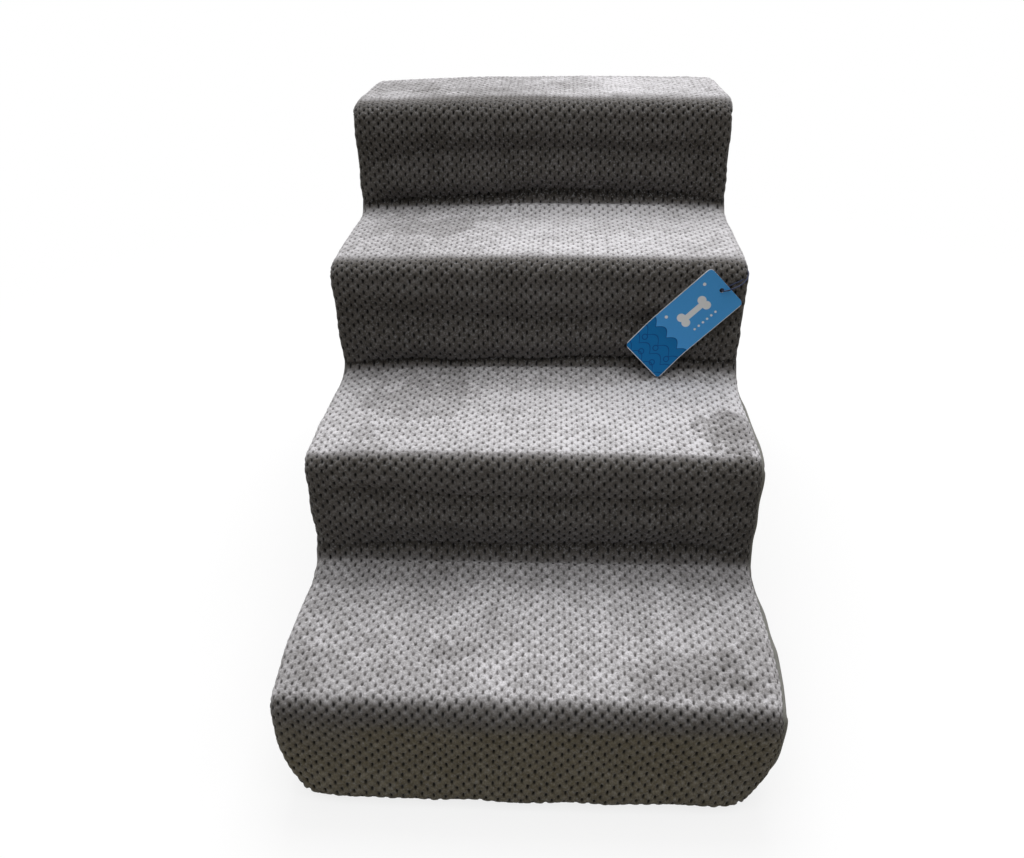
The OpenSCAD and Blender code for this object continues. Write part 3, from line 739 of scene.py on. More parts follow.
# painted light and shade along the line: treads in painted light, risers, noses and inner corners in painted
# shade: step, part, share of it, lightness
paintedLightAlong = [
    (1, "riser", 0.0, 0.155), (1, "riser", 0.35, 0.165), (1, "riser", 0.9, 0.17), (1, "nose", 0.45, 0.18),
    (1, "nose", 0.68, 0.38), (1, "nose", 0.9, 0.62), (1, "tread", 0.1, 0.62), (1, "tread", 0.8, 0.69),
    (1, "corner", 0.0, 0.40), (1, "corner", 0.9, 0.16), (2, "riser", 0.1, 0.105), (2, "riser", 0.9, 0.105),
    (2, "nose", 0.6, 0.08), (2, "nose", 0.9, 0.34), (2, "tread", 0.01, 0.68), (2, "tread", 0.1, 0.86),
    (2, "tread", 0.8, 0.88), (2, "tread", 0.97, 0.60), (2, "corner", 0.3, 0.21), (2, "corner", 0.9, 0.13),
    (3, "riser", 0.1, 0.105), (3, "riser", 0.9, 0.105), (3, "nose", 0.5, 0.075), (3, "nose", 0.85, 0.07),
    (3, "tread", 0.01, 0.14), (3, "tread", 0.05, 0.39), (3, "tread", 0.10, 0.72), (3, "tread", 0.16, 0.85),
    (3, "tread", 0.93, 0.92), (3, "corner", 0.2, 0.5), (3, "corner", 0.6, 0.22), (3, "corner", 0.9, 0.13),
    (4, "riser", 0.1, 0.11), (4, "riser", 0.9, 0.10), (4, "nose", 0.3, 0.09), (4, "nose", 0.6, 0.062),
    (4, "tread", 0.03, 0.062), (4, "tread", 0.09, 0.16), (4, "tread", 0.19, 0.48), (4, "tread", 0.27, 0.64),
    (4, "tread", 0.9, 0.7), (4, "back", 1.0, 0.3),
]
# how light each tread looks at the seven places across, as shares of its own lightness
acrossTones = {
    4: [0.77, 0.90, 0.76, 0.82, 1.22, 1.28, 0.97], 3: [0.82, 0.72, 0.84, 1.0, 1.12, 1.10, 0.96],
    2: [0.82, 0.85, 0.86, 1.0, 1.07, 1.03, 1.08], 1: [0.95, 0.93, 0.91, 1.07, 1.02, 0.98, 1.0],
}
# how the tone varies by itself, how far a dark patch goes, how the painted light moves up over each bridged
# corner, and how far each tread's tones reach
pileToneAndLightTone = {
    "noise": [(0.10, 0.03, 51), (0.07, 0.012, 53)],
    "edge": [(0.55, 0.02, 55), (0.5, 0.008, 57), (0.4, 0.0045, 58)], "edgeShare": 0.8, "patch": 0.45,
    "patchFrom": 1.3, "patchOver": 0.95, "darkest": 0.1, "bridge": 0.4, "bridgeOver": 0.03,
    "bridgePast": 0.045, "treadFrom": 0.008, "treadPast": 0.004, "treadOver": 0.012,
}


# the pile's own tone and dark patches, with painted light on the treads, painted shade on the risers, noses,
# inner corners and tucks, and a painted shadow of the tag
def pileToneAndLightOf(x, v):
    drawnUp = np.zeros_like(x)  # the painted light of a tread goes up with the bridged corner behind it
    for k, edge in cornerEdges.items():
        start, size = partAt("corner", k)
        near = ease((v - start) / pileToneAndLightTone["bridgeOver"] + 1)
        near = near * ease((start + size + pileToneAndLightTone["bridgePast"] - v) / pileToneAndLightTone["bridgeOver"])
        drawnUp = drawnUp + pileToneAndLightTone["bridge"] * acrossFolds(x, edge) * near
    pileToneAndLight = np.interp(v - drawnUp, placesOf(paintedLightAlong), [light for *_, light in paintedLightAlong])
    for k, rows in riserShades.items():
        z, here = alongRiser(k, x, v)
        pileToneAndLight = pileToneAndLight * (1 + here * (downRiser(x, z, 1.0, rows) - 1))
    for k, shares in acrossTones.items():
        start, size = partAt("tread", k)
        here = ease((v - start + pileToneAndLightTone["treadFrom"]) / pileToneAndLightTone["treadOver"])
        here = here * ease((start + size + pileToneAndLightTone["treadPast"] - v) / pileToneAndLightTone["treadOver"])
        pileToneAndLight = pileToneAndLight * (1 + here * (np.interp(x, foldPlaces, shares) - 1))
    pileToneAndLight = pileToneAndLight * (1 + noiseSum(x, v, pileToneAndLightTone["noise"]))
    rough = noiseSum(x, v, pileToneAndLightTone["edge"]) * pileToneAndLightTone["edgeShare"]
    for k, across, depth, wide, long, strength in pileToneAndLightPatches:
        d = ((x - across * mm) / (wide * mm)) ** 2
        d = d + ((v - partAt("tread", k)[0] - depth * mm) / (long * mm)) ** 2
        dark = strength * ease((pileToneAndLightTone["patchFrom"] - d + rough) / pileToneAndLightTone["patchOver"])
        pileToneAndLight = np.maximum(pileToneAndLight - pileToneAndLightTone["patch"] * dark, np.minimum(pileToneAndLight, pileToneAndLightTone["darkest"]))
    return pileToneAndLight


makeTuftPlush()
print("plush made")

# the plain sides: from the roll of the plush down, then in under the foam or round the back
sides = {
    "slant": 0.16, "thickness": 2.2 * mm, "flat": (0.72, 0.46), "area": 0.225, "tuck": 1.6 * mm,
    "behind": 0.3 * mm, "rollRows": 8, "faceRows": 96, "turnRows": 12, "rimFrom": 1.5 * mm,
    "rimStep": 2.4 * mm, "rimLast": 15, "backGap": 0.05 * mm, "leastStep": 0.04 * mm, "rollGap": 0.04,
    "seamFrom": 1.2, "seamOver": 0.37, "straight": 0.75, "leastStraight": 0.25, "swellDepth": 0.075,
    "swellFrom": 0.15, "swellOver": 0.03, "noseDepth": 0.045,
    "puff": [(1.2 * mm, 0.09, 61), (0.8 * mm, 0.03, 63)], "pucker": 0.5 * mm, "puckerWave": 8.5 * mm,
    "puckerDepth": 12 * mm, "puckerRows": 14, "puckerWander": 2, "pull": 1.4 * mm, "pullLength": 0.05,
    "pullFrom": 0.012, "pullRays": 7, "pullWander": 3, "fadeRows": 10, "tuckRows": 1.2, "innerStep": 4,
}


def rimOf():  # the seam line from the side as y, z, and its v, without points that fold back
    d = lip + steps["seam"]
    v = np.arange(partAt("riser", 1)[0] + sides["rimFrom"], stripLength, sides["rimStep"])
    y, z, ny, nz = baseLine(v)
    y, z = y - d * ny, z - d * nz
    last = np.linspace(0, 1, sides["rimLast"])[1:]
    y = np.append(y, y[-1] + (steps["halfDepth"] - sides["backGap"] - y[-1]) * last)
    z = np.append(z, z[-1] + (height - steps["backR"] - steps["seam"] - z[-1]) * last)
    v, ny, nz = (np.append(a, a[-1] + 0 * last) for a in (v, ny, nz))
    keep, most = [], -9.0
    for i, w in enumerate(y + sides["slant"] * z):
        if w > most + sides["leastStep"]:
            keep.append(i)
            most = w
    return [a[keep][:, None] for a in (y, z, v, ny, nz)]


def sideGrid(sign):  # the roll below the plush, the face, and the turn under the foam or round the back
    y, z, v, ny, nz = rimOf()
    reach = sides["rollGap"] + (reachAt(v) if sign > 0 else np.full_like(v, math.pi / 2))
    a = reach + (math.pi / 2 - reach) * np.linspace(0, 1, sides["rollRows"])[None, :-1]
    a = np.minimum(a, math.pi / 2)
    inset = steps["crown"] + steps["rollR"] * (1 - np.cos(a))
    seam = 1 - np.clip((a - sides["seamFrom"]) / sides["seamOver"], 0, 1)
    back = lip - inset + steps["seam"] * seam
    roll = np.stack([flatWidth + steps["rollR"] * np.sin(a), y + back * ny, z + back * nz], -1)
    down = np.minimum(z, (steps["halfDepth"] - y) / sides["slant"])
    footY, footZ = y + down * sides["slant"], z - down
    width = np.maximum(footR(footY), headR(footZ))
    curved = np.where(footZ < mm, footR(footY) / np.maximum(z, mm), width / np.maximum(footY - y, mm))
    s = np.maximum(sides["leastStraight"], 1 - curved)
    t = np.linspace(0, 1, sides["faceRows"])[None, :] + 0 * y
    bend = sides["straight"]
    share = np.where(t < bend, s * t / bend, s + (1 - s) * (t - bend) / (1 - bend))
    face = np.stack([0 * t + steps["halfWidth"], y + down * sides["slant"] * share, z - down * share], -1)
    t = np.linspace(0, 1, sides["turnRows"] + 1)[None, 1:]
    turn = np.stack([steps["halfWidth"] - width * t, footY + 0 * t, footZ + 0 * t], -1)
    grid = settle(np.concatenate([roll, face, turn], 1))
    return grid, v, np.concatenate([np.zeros_like(a), down * share, down + width * t], 1)


def pullsAt(y, z):  # creases that run out from each inner corner
    pulls = 0
    for k in range(1, steps["count"]):
        dy, dz = y - frontOf(k + 1) - lip, z - k * steps["rise"] + lip
        r, angle = np.hypot(dy, dz) + 1e-6, np.arctan2(dz, dy)
        wander = sides["pullWander"] * softNoise(r, angle * 0.05, 0.04, 67 + k)
        wave = np.cos(sides["pullRays"] * angle + wander)
        pulls = pulls + sides["pull"] * wave * np.exp(-r / sides["pullLength"]) * ease(r / sides["pullFrom"])
    return pulls


def makeSide(sign, name, replaced):
    grid, v, deep = sideGrid(sign)
    normal = normalsOf(grid)
    normal *= np.sign(normal[len(v) // 2, sides["rollRows"] + 10, 0])
    swollen = swellAt(v) * hump(deep / sides["swellDepth"])
    swollen = swollen * ease((np.abs(grid[..., 0]) - sides["swellFrom"]) / sides["swellOver"])
    drawn = cornerDrawn(v, sign > 0) * hump(deep / sides["noseDepth"])
    grid[..., 0] += swollen - drawn
    grid[..., 2] -= stripForms["noseSink"] * drawn
    y, z = grid[..., 1], grid[..., 2]
    grid[..., 0] = sign * grid[..., 0] - leanAt(sign * steps["halfWidth"], y, z)
    normal[..., 0] *= sign
    column = np.arange(grid.shape[1])[None, :]
    last = grid.shape[1] - 1 - column
    broad, fine = sides["puff"]
    puff = noiseSum(y, z, [broad]) + noiseSum(y + 0.3 * z, z * 0.5, [fine])
    pucker = np.sin(v / sides["puckerWave"] + sides["puckerWander"] * softNoise(v, v * 0, 0.05, 65))
    pucker = sides["pucker"] * pucker * np.exp(-deep / sides["puckerDepth"])
    fade = ease(column / sides["fadeRows"]) * ease(last / sides["fadeRows"])
    tuck = sides["tuck"] * (np.exp(-column / sides["tuckRows"]) + np.exp(-last / sides["tuckRows"]))
    out = (puff + pullsAt(y, z)) * fade - tuck - sides["behind"]
    out = out + pucker * ease((last + 1) / sides["puckerRows"])
    outer = grid + normal * out[..., None]
    inner = everyNth(grid + normal * (out - sides["thickness"])[..., None], sides["innerStep"])
    piece = put(shellOf(outer, inner, flip=sign > 0), name, sideKnit, "stairs", [replaced])


makeSide(1, "sidePanelRight", "right_side_panel")
makeSide(-1, "sidePanelLeft", "left_side_panel")
print("sides made")

# the underside: a dark cloth with rubber dots that the stairs stand on
under = {
    "thickness": 2.0 * mm, "lift": 0.6 * mm, "wave": 0.7 * mm, "waveCell": 0.06, "rows": 240,
    "columns": 130, "pitch": 12 * mm, "dotR": 1.6 * mm, "dotRise": 0.96 * mm, "dotParts": (10, 6),
    "innerStep": 6, "margin": 9 * mm, "dotsFrom": -0.325, "dotsTo": 0.342, "flat": (0.376, 0.69),
    "area": 0.2455,
}


def plateGrid(rows, half, columns):  # a grid across rows, each from -half to half
    s = np.linspace(-1, 1, columns)[None, :]
    return half[:, None] * s, rows[:, None] + 0 * s


def makeBase():
    y = np.linspace(frontOf(1) + lip + steps["seam"], steps["halfDepth"], under["rows"])
    x, y = plateGrid(y, steps["halfWidth"] - footR(y) - steps["seam"], under["columns"])
    wave = under["wave"] * (softNoise(x, y, under["waveCell"], 71) + 1)
    outer = np.stack([x - leanAt(x, y, 0), y, under["lift"] + wave], -1)
    inner = everyNth(outer, under["innerStep"]) + [0, 0, under["thickness"]]
    cloth = shellOf(outer, inner, flip=True)
    piece = put(cloth, "basePanel", gripCloth, "stairs", ["base_panel"])
    dot = smallBall((under["dotR"], under["dotR"], under["dotRise"]), *under["dotParts"])
    places, rowPitch = [], under["pitch"] * 0.866
    for j, cy in enumerate(np.arange(under["dotsFrom"], under["dotsTo"], rowPitch)):
        half = float(steps["halfWidth"] - footR(cy)) - under["margin"]
        for cx in np.arange(-half + (j % 2) * under["pitch"] / 2, half, under["pitch"]):
            places.append((cx - float(leanAt(cx, cy, 0)), cy, under["dotRise"]))
    dots = put(copiesOf(dot, [(np.eye(3), p) for p in places]), "gripDots", rubber, "stairs")


makeBase()
print("underside made")

# the zip: its line runs up the left, across and down the right of the back
zipLine = {
    "x": 0.150, "top": 0.380, "bottom": 0.003, "r": 0.030, "slot": 6.5 * mm, "tape": 13 * mm,
    "tooth": 3.2 * mm, "overlap": 0.4 * mm, "tapeT": 0.64 * mm, "tapeBehind": 3.1 * mm,
    "tapeWave": 0.06 * mm, "tapeWaveLength": 4 * mm, "tapeGrid": (380, 9),
}


def zipAt(s, out):  # the point s along the line and out from it, with the outward direction
    z = zipLine
    up, bend, over = z["top"] - z["r"] - z["bottom"], z["r"] * math.pi / 2, 2 * (z["x"] - z["r"])
    s, out = np.broadcast_arrays(np.asarray(s, float), np.asarray(out, float))
    turned = np.clip((s - up) / bend, 0, 1) + np.clip((s - up - bend - over) / bend, 0, 1)
    angle = np.pi - turned * np.pi / 2
    cx = -z["x"] + z["r"] + np.clip(s - up - bend, 0, over)
    cz = np.where(s < up, z["bottom"] + s, z["top"] - z["r"]) - np.clip(s - up - 2 * bend - over, 0, up)
    r = z["r"] + out
    return cx + r * np.cos(angle), cz + r * np.sin(angle), angle


zipLength = 2 * (zipLine["top"] - zipLine["r"] - zipLine["bottom"] + zipLine["x"] - zipLine["r"])
zipLength += math.pi * zipLine["r"]
# the cloth round the zip and the flap inside it
backCloth = {
    "behind": 0.9 * mm, "thickness": 1.65 * mm, "innerStep": 5, "rows": 420, "columns": 16, "flapRows": 150,
    "ruffle": 0.5 * mm, "ruffleWave": 2.1 * mm, "ruffleEnds": 6, "pucker": 0.35 * mm,
    "puckerWave": 2.2 * mm, "puckerIn": 6 * mm, "frame": [(0.8 * mm, 0.03, 81)],
    "flap": [(1.3 * mm, 0.07, 83), (0.9 * mm, 0.028, 85)], "slack": 0.4 * mm, "slackOver": 0.02,
    "frameTuck": 1.2 * mm, "tuckEnds": 14, "flapTuck": 1.3 * mm, "tuckOver": 1.5 * mm,
    "frameFlat": (0.375, 0.4225), "frameArea": 0.0515, "flapFlat": (0.287, 0.3705), "flapArea": 0.1061,
}


def sheetBehind(x, y, z, step, thickness):  # a closed sheet whose outer face is given
    outer = np.stack([x, y, z], -1)
    return shellOf(outer, everyNth(outer, step) - [0, thickness, 0], flip=True)


def putBack(x, out, z, name, replaced):
    y = steps["halfDepth"] - backCloth["behind"] + out
    sheet = sheetBehind(x, y, z, backCloth["innerStep"], backCloth["thickness"])
    return put(sheet, name, sideKnit, "stairs", [replaced])


def makeFrame():  # from the zip out to the sides and the top
    s = np.linspace(0, zipLength, backCloth["rows"])
    x0, z0, angle = zipAt(s, zipLine["slot"])
    sx, sz = np.cos(angle), np.sin(angle)
    top = height - steps["backR"] - steps["seam"]
    z1 = z0.copy()
    for _ in range(12):  # the way out to the edge, whose roundness depends on the height
        toSide = (steps["halfWidth"] - headR(z1) - steps["seam"] - np.abs(x0)) / np.maximum(np.abs(sx), 1e-3)
        reach = np.minimum(toSide, (top - z0) / np.maximum(sz, 1e-3))
        x1, z1 = x0 + sx * reach, z0 + sz * reach
    t = np.linspace(0, 1, backCloth["columns"])[None, :]
    x, z = (a[:, None] * (1 - t) + b[:, None] * t for a, b in ((x0, x1), (z0, z1)))
    ruffle = backCloth["ruffle"] * np.sin(s[:, None] / backCloth["ruffleWave"])
    ruffle = ruffle * np.exp(-t * backCloth["ruffleEnds"])
    wave = (noiseSum(x, z, backCloth["frame"]) + ruffle) * np.sin(np.pi * t) ** 0.5
    tuck = np.exp(-t * backCloth["tuckEnds"]) + np.exp(-(1 - t) * backCloth["tuckEnds"])
    return putBack(x, wave - backCloth["frameTuck"] * tuck, z, "backFrame", "back_frame_panel")


def makeFlap():  # inside the zip, slack in the middle
    r, high = zipLine["r"] - zipLine["slot"], zipLine["top"] - zipLine["slot"]
    curve = (1 - np.cos(np.linspace(0, 1, backCloth["columns"]) * np.pi / 2)) * r
    rows = high - np.append(curve, np.linspace(r, high - zipLine["bottom"], backCloth["flapRows"])[1:])[::-1]
    half = zipLine["x"] - zipLine["slot"] - r + np.sqrt(r ** 2 - np.clip(rows - high + r, 0, r) ** 2)
    x, z = plateGrid(rows, half, backCloth["flapRows"])
    edge = np.minimum(half[:, None] - np.abs(x), np.minimum(high - z, z * 3))
    broad, fine = backCloth["flap"]
    wave = noiseSum(x, z * 0.6, [broad]) + noiseSum(x + 0.4 * z, z * 0.4, [fine]) + backCloth["slack"]
    pucker = backCloth["pucker"] * np.sin((x + z) / backCloth["puckerWave"])
    pucker = pucker * np.exp(-edge / backCloth["puckerIn"])
    tuck = backCloth["flapTuck"] * np.exp(-edge / backCloth["tuckOver"])
    return putBack(x, wave * ease(edge / backCloth["slackOver"]) + pucker - tuck, z, "backFlap", "back_flap")


def makeBack():
    frameCloth, flap, stitches = makeFrame(), makeFlap(), makeStitches()


stitching = {
    "size": (0.45 * mm, 0.35 * mm, 1.35 * mm), "pitch": 3.6 * mm, "fromSlot": 2.6 * mm, "in": 1.0 * mm,
    "from": 4 * mm, "to": 3 * mm, "parts": (6, 5),
}


def makeStitches():  # a row on each side of the zip
    turns = []
    for side in (1, -1):
        for s in np.arange(stitching["from"], zipLength - stitching["to"], stitching["pitch"]):
            x, z, angle = (float(a) for a in zipAt(s, side * (zipLine["slot"] + stitching["fromSlot"])))
            turn = np.array(Matrix.Rotation(-angle, 3, "Y"))
            turns.append((turn, (x, steps["halfDepth"] - stitching["in"], z)))
    stitch = smallBall(stitching["size"], *stitching["parts"])
    return put(copiesOf(stitch, turns), "zipStitches", sewingThread, "stairs")


def makeTape(name, side, replaced):  # side is 1 outside the zip line and -1 inside it
    near, far = side * (zipLine["tooth"] - zipLine["overlap"]), side * zipLine["tape"]
    rows, columns = zipLine["tapeGrid"]
    s = np.linspace(0, zipLength, rows)[:, None]
    out = near + (far - near) * np.linspace(0, 1, columns)[None, ::side]
    x, z, _ = zipAt(s, out)
    wave = zipLine["tapeWave"] * np.sin(s / zipLine["tapeWaveLength"])
    y = steps["halfDepth"] - zipLine["tapeBehind"] + wave + 0 * out
    piece = put(sheetBehind(x, y, z, 2, zipLine["tapeT"]), name, tapeCloth, "stairs", [replaced])


makeBack()
makeTape("tapeOuter", 1, "zipper_tape_outer")
makeTape("tapeInner", -1, "zipper_tape_inner")
print("back and tapes made")

# hard parts of the zip: the CAD shapes with their edges broken, with angles in degrees
edges = {"flat": 2, "sharp": 30, "smooth": 35, "segments": 2}


def bevelled(node, name, material, body, width):
    piece = copyOfNode(node, name, flatter=edges["flat"])
    bevel = piece.modifiers.new("bevel", "BEVEL")
    bevel.width, bevel.segments, bevel.limit_method = width, edges["segments"], "ANGLE"
    bevel.angle_limit, bevel.use_clamp_overlap = math.radians(edges["sharp"]), True
    bpy.ops.object.modifier_apply(modifier="bevel")
    bpy.ops.object.shade_smooth_by_angle(angle=math.radians(edges["smooth"]))
    return dress(piece, [material], body, [node])


bevelled("zipper_slider", "zipSlider", castMetal, "slider", 0.22 * mm)
bevelled("zipper_pull", "zipPull", castMetal, "pull", 0.25 * mm)
bevelled("zipper_teeth_outer", "teethOuter", teethPlastic, "stairs", 0.18 * mm)
bevelled("zipper_teeth_inner", "teethInner", teethPlastic, "stairs", 0.18 * mm)
bevelled("zipper_stops", "zipStops", teethPlastic, "stairs", 0.3 * mm)
print("zip made")

# the four slabs of foam, a little soft at their edges
slabs = {
    "voxel": 7 * mm, "give": 5 * mm, "giveFrom": 0.3, "giveOver": 0.5, "fill": 0.95, "shrink": 0.4 * mm,
    "noiseCell": 0.05, "foot": 4.5 * mm, "footFrom": 0.12, "footOver": 0.06, "footUp": 0.07,
    "footFront": -0.2, "frontOver": 0.1,
}


def makeFoam(k):
    piece = copyOfNode(f"foam_slab_{k}", f"foamSlab{k}")
    piece.data.remesh_voxel_size = slabs["voxel"]
    bpy.ops.object.voxel_remesh()
    p, normal = pointsOf(piece.data), pointsOf(piece.data, "normal")
    x, y, z = p.T
    dent = slabs["shrink"] * (softNoise(x + z, y, slabs["noiseCell"], 90 + k) - 1)
    front = ease((-normal[:, 1] - slabs["giveFrom"]) / slabs["giveOver"])  # lower behind the folds
    dent = dent - slabs["give"] * front
    foot = ease((np.abs(x) - slabs["footFrom"]) / slabs["footOver"]) * ease(1 - z / slabs["footUp"])
    dent = dent - slabs["foot"] * foot * ease((slabs["footFront"] - y) / slabs["frontOver"])
    p[:, 0] -= leanAt(x, y, z)  # the foot leans with its cover
    piece.data.vertices.foreach_set("co", (p + normal * dent[:, None]).ravel())
    piece.data.update()
    piece.data.polygons.foreach_set("use_smooth", np.full(len(piece.data.polygons), True))
    dress(piece, [foam], "stairs", [f"foam_slab_{k}"])


for slab in range(1, steps["count"] + 1):
    makeFoam(slab)
print("foam made")

# the hang tag: a printed card with rounded corners, bent a little towards its free end
tag = {
    "width": 49 * mm, "length": 110 * mm, "holeIn": 7 * mm, "holeR": 2.2 * mm, "holeParts": 32,
    "cornerR": 5 * mm, "cornerParts": 7, "thickness": 0.7 * mm, "at": (178.5 * mm, -2.4 * mm, 312.5 * mm),
    "lean": -6, "turn": 46.5, "bendAt": -70 * mm, "bend": 14.0, "bendPart": 6 * mm, "cutFrom": 8 * mm,
    "cutTo": 12 * mm,
}


def cutCard():  # flat, with rounded corners, rows of edges for the bend, and the hole at the middle
    low, top = tag["holeIn"] - tag["length"], tag["holeIn"]
    bpy.ops.object.select_all(action="DESELECT")
    bpy.ops.mesh.primitive_plane_add(size=1)
    card = bpy.context.object
    card.name = "hangTag"
    bpy.ops.object.mode_set(mode="EDIT")
    bpy.ops.mesh.select_all(action="SELECT")
    bpy.ops.transform.resize(value=(tag["width"], tag["length"], 1))
    bpy.ops.transform.translate(value=(0, (low + top) / 2, 0))
    bpy.ops.mesh.bevel(affect="VERTICES", offset=tag["cornerR"], segments=tag["cornerParts"])
    for y in np.arange(low + tag["cutFrom"], top - tag["cutTo"], tag["bendPart"]):
        bpy.ops.mesh.select_all(action="SELECT")
        bpy.ops.mesh.bisect(plane_co=(0, float(y), 0), plane_no=(0, 1, 0))
    bpy.ops.object.mode_set(mode="OBJECT")
    thick = card.modifiers.new("thick", "SOLIDIFY")
    thick.thickness, thick.offset = tag["thickness"], 0
    bpy.ops.object.modifier_apply(modifier="thick")
    bpy.ops.mesh.primitive_cylinder_add(vertices=tag["holeParts"], radius=tag["holeR"], depth=10 * mm)
    punch = bpy.context.object
    hole = card.modifiers.new("hole", "BOOLEAN")
    hole.operation, hole.object, hole.solver = "DIFFERENCE", punch, "EXACT"
    selectOnly(card)
    bpy.ops.object.modifier_apply(modifier="hole")
    bpy.data.objects.remove(punch)
    return card


def makeTag():
    card = cutCard()
    mesh = card.data
    bent = pointsOf(mesh)
    uvOn(mesh, "print", bent[:, :2] / mm)
    rises = 0
    for share in (-1, 0, 1):  # the bend, as three small turns
        past = np.clip(tag["bendAt"] + share * tag["bendPart"] - bent[:, 1], 0, None)
        rises = rises + past * math.tan(math.radians(tag["bend"] / 3))
    bent[:, 2] += rises
    turn = (Matrix.Translation(Vector(tag["at"])) @ Matrix.Rotation(math.radians(tag["lean"]), 4, "X")
            @ Matrix.Rotation(math.radians(tag["turn"]), 4, "Y") @ Matrix.Rotation(math.radians(90), 4, "X"))
    turn = np.array(turn)
    mesh.vertices.foreach_set("co", (bent @ turn[:3, :3].T + turn[:3, 3]).ravel())
    mesh.update()
    dress(card, [cardPaper, cardPrint], "tag", ["hang_tag"])
    for polygon in mesh.polygons:  # the print is on the side that faces out
        polygon.use_smooth = False
        polygon.material_index = int(np.dot(polygon.normal, turn[:3, 2]) > 0.8)


# the print, in mm from the hole: a bone, dots, and a scalloped lower part with lines and rings
printed = {
    "soft": 0.25, "bone": (-2.0, -33.0), "boneHalf": (2.9, 13.0), "knobIn": 3.4, "knobR": 4.3,
    "dots": [(12.5, -18.0 - 5.2 * i, 1.15) for i in range(6)] + [(-16.0, -8.0, 1.6), (-16.0, -56.0, 1.6)],
    "scallop": 6.0, "scallopTurn": 0.2, "scallopAt": -70.0, "scallopSoft": 0.4,
    "lines": (-70.0, -81.0, -92.0, -103.0), "lineHalf": 0.42,
    "rings": [(-16, -84), (0, -84), (16, -84), (-8, -96), (8, -96)], "ringR": 2.6, "ringHalf": 0.4,
    "edge": (24.5, 103.0), "border": (0.5, 0.7), "white": rgb(0.90, 0.92, 0.94),
    "ink": rgb(0.0, 0.055, 0.22), "lower": rgb(0.004, 0.165, 0.44),
    "upper": (rgb(0.075, 0.375, 0.83), rgb(0.085, 0.40, 0.88)), "bare": rgb(0.75, 0.78, 0.8),
}


def printMaterial():
    n = newMaterial("cardPrint")
    x, y, _ = n.node("SeparateXYZ", {0: n.node("UVMap", uv_map="print").outputs[0]}).outputs

    def within(distance, limit):
        return n.ramp(distance, limit - printed["soft"], limit + printed["soft"], 1.0, 0.0)

    def away(cx, cy):
        return n.length(n.minus(x, cx), n.minus(y, cy))

    def most(values):
        return functools.reduce(n.larger, values)

    (cx, cy), (wide, long) = printed["bone"], printed["boneHalf"]
    bar = n.times(within(n.apart(x, cx), wide), within(n.apart(y, cy), long))
    knobs = [within(away(cx + i * printed["knobIn"], cy + j * long), printed["knobR"])
             for i in (-1, 1) for j in (-1, 1)]
    white = most([bar] + knobs + [within(away(a, b), r) for a, b, r in printed["dots"]])
    wave = n.math("ABSOLUTE", n.math("SINE", n.times(x, printed["scallopTurn"])))
    level = n.plus(y, n.times(wave, -printed["scallop"]))
    at, soft = printed["scallopAt"], printed["scallopSoft"]
    lower = n.ramp(level, at - soft, at + soft, 1.0, 0.0)
    lines = [within(n.apart(level, at), printed["lineHalf"]) for at in printed["lines"]]
    rings = [within(n.apart(away(a, b), printed["ringR"]), printed["ringHalf"]) for a, b in printed["rings"]]
    grain = n.noise(n.place(), 500.0, 2.0)
    colour = n.mix(lower, n.mix(grain, *printed["upper"]), printed["lower"])
    colour = n.mix(most(lines + rings), colour, printed["ink"])
    colour = n.mix(white, colour, printed["white"])
    halfWide, long = printed["edge"]
    border = n.math("MINIMUM", n.minus(halfWide, n.math("ABSOLUTE", x)), n.plus(y, long))
    colour = n.mix(n.ramp(border, *printed["border"], 1.0, 0.0), colour, printed["bare"])
    return n.finish(Base_Color=colour, Roughness=0.4, Specular_IOR_Level=0.15, Coat_Weight=0.03,
                    Normal=n.bump(grain, 0.04, 0.2 * mm))


cardPaper = grainMaterial("cardPaper", rgb(0.72, 0.74, 0.76), rgb(0.85, 0.86, 0.87),
                          (600.0, 3.0), (0.0, 1.0), 0.6, (0.1, 0.2 * mm))
cardPrint = printMaterial()
makeTag()

# the cord of the tag: out of the side seam, through the hole and back
cord = {
    "diameter": 1.3 * mm, "sides": 10, "steps": 4, "strands": 3, "strandDepth": 0.12, "twist": 0.9,
    "route": [(200.3, 12, 329), (202, 11.6, 328.8), (203.6, 9.4, 327.6), (204, 6, 325.6), (202.4, 1.6, 322.8),
              (198, -2.4, 319.6), (192, -4.8, 316.6), (186, -5.8, 314.4), (181.2, -5.4, 312.9),
              (178.7, -2.9, 312.5), (180.6, -0.1, 313.2), (184.4, 0.5, 315), (189.4, 0.7, 317.6),
              (195, 1.4, 320), (200.2, 4, 321.6), (203.2, 8, 322.2), (202.2, 11.4, 322.1), (200.3, 12, 322)],
}


def smoothLine(points, n):  # a smooth curve through the points, n parts between each two
    p = [np.array(q, float) for q in points]
    line = []
    for i in range(len(p) - 1):
        a, b, c, d = p[max(i - 1, 0)], p[i], p[i + 1], p[min(i + 2, len(p) - 1)]
        for t in np.arange(n) / n:
            curve = (2 * a - 5 * b + 4 * c - d) * t ** 2 + (3 * b - a - 3 * c + d) * t ** 3
            line.append((2 * b + (c - a) * t + curve) / 2)
    return np.array(line + [p[-1]])


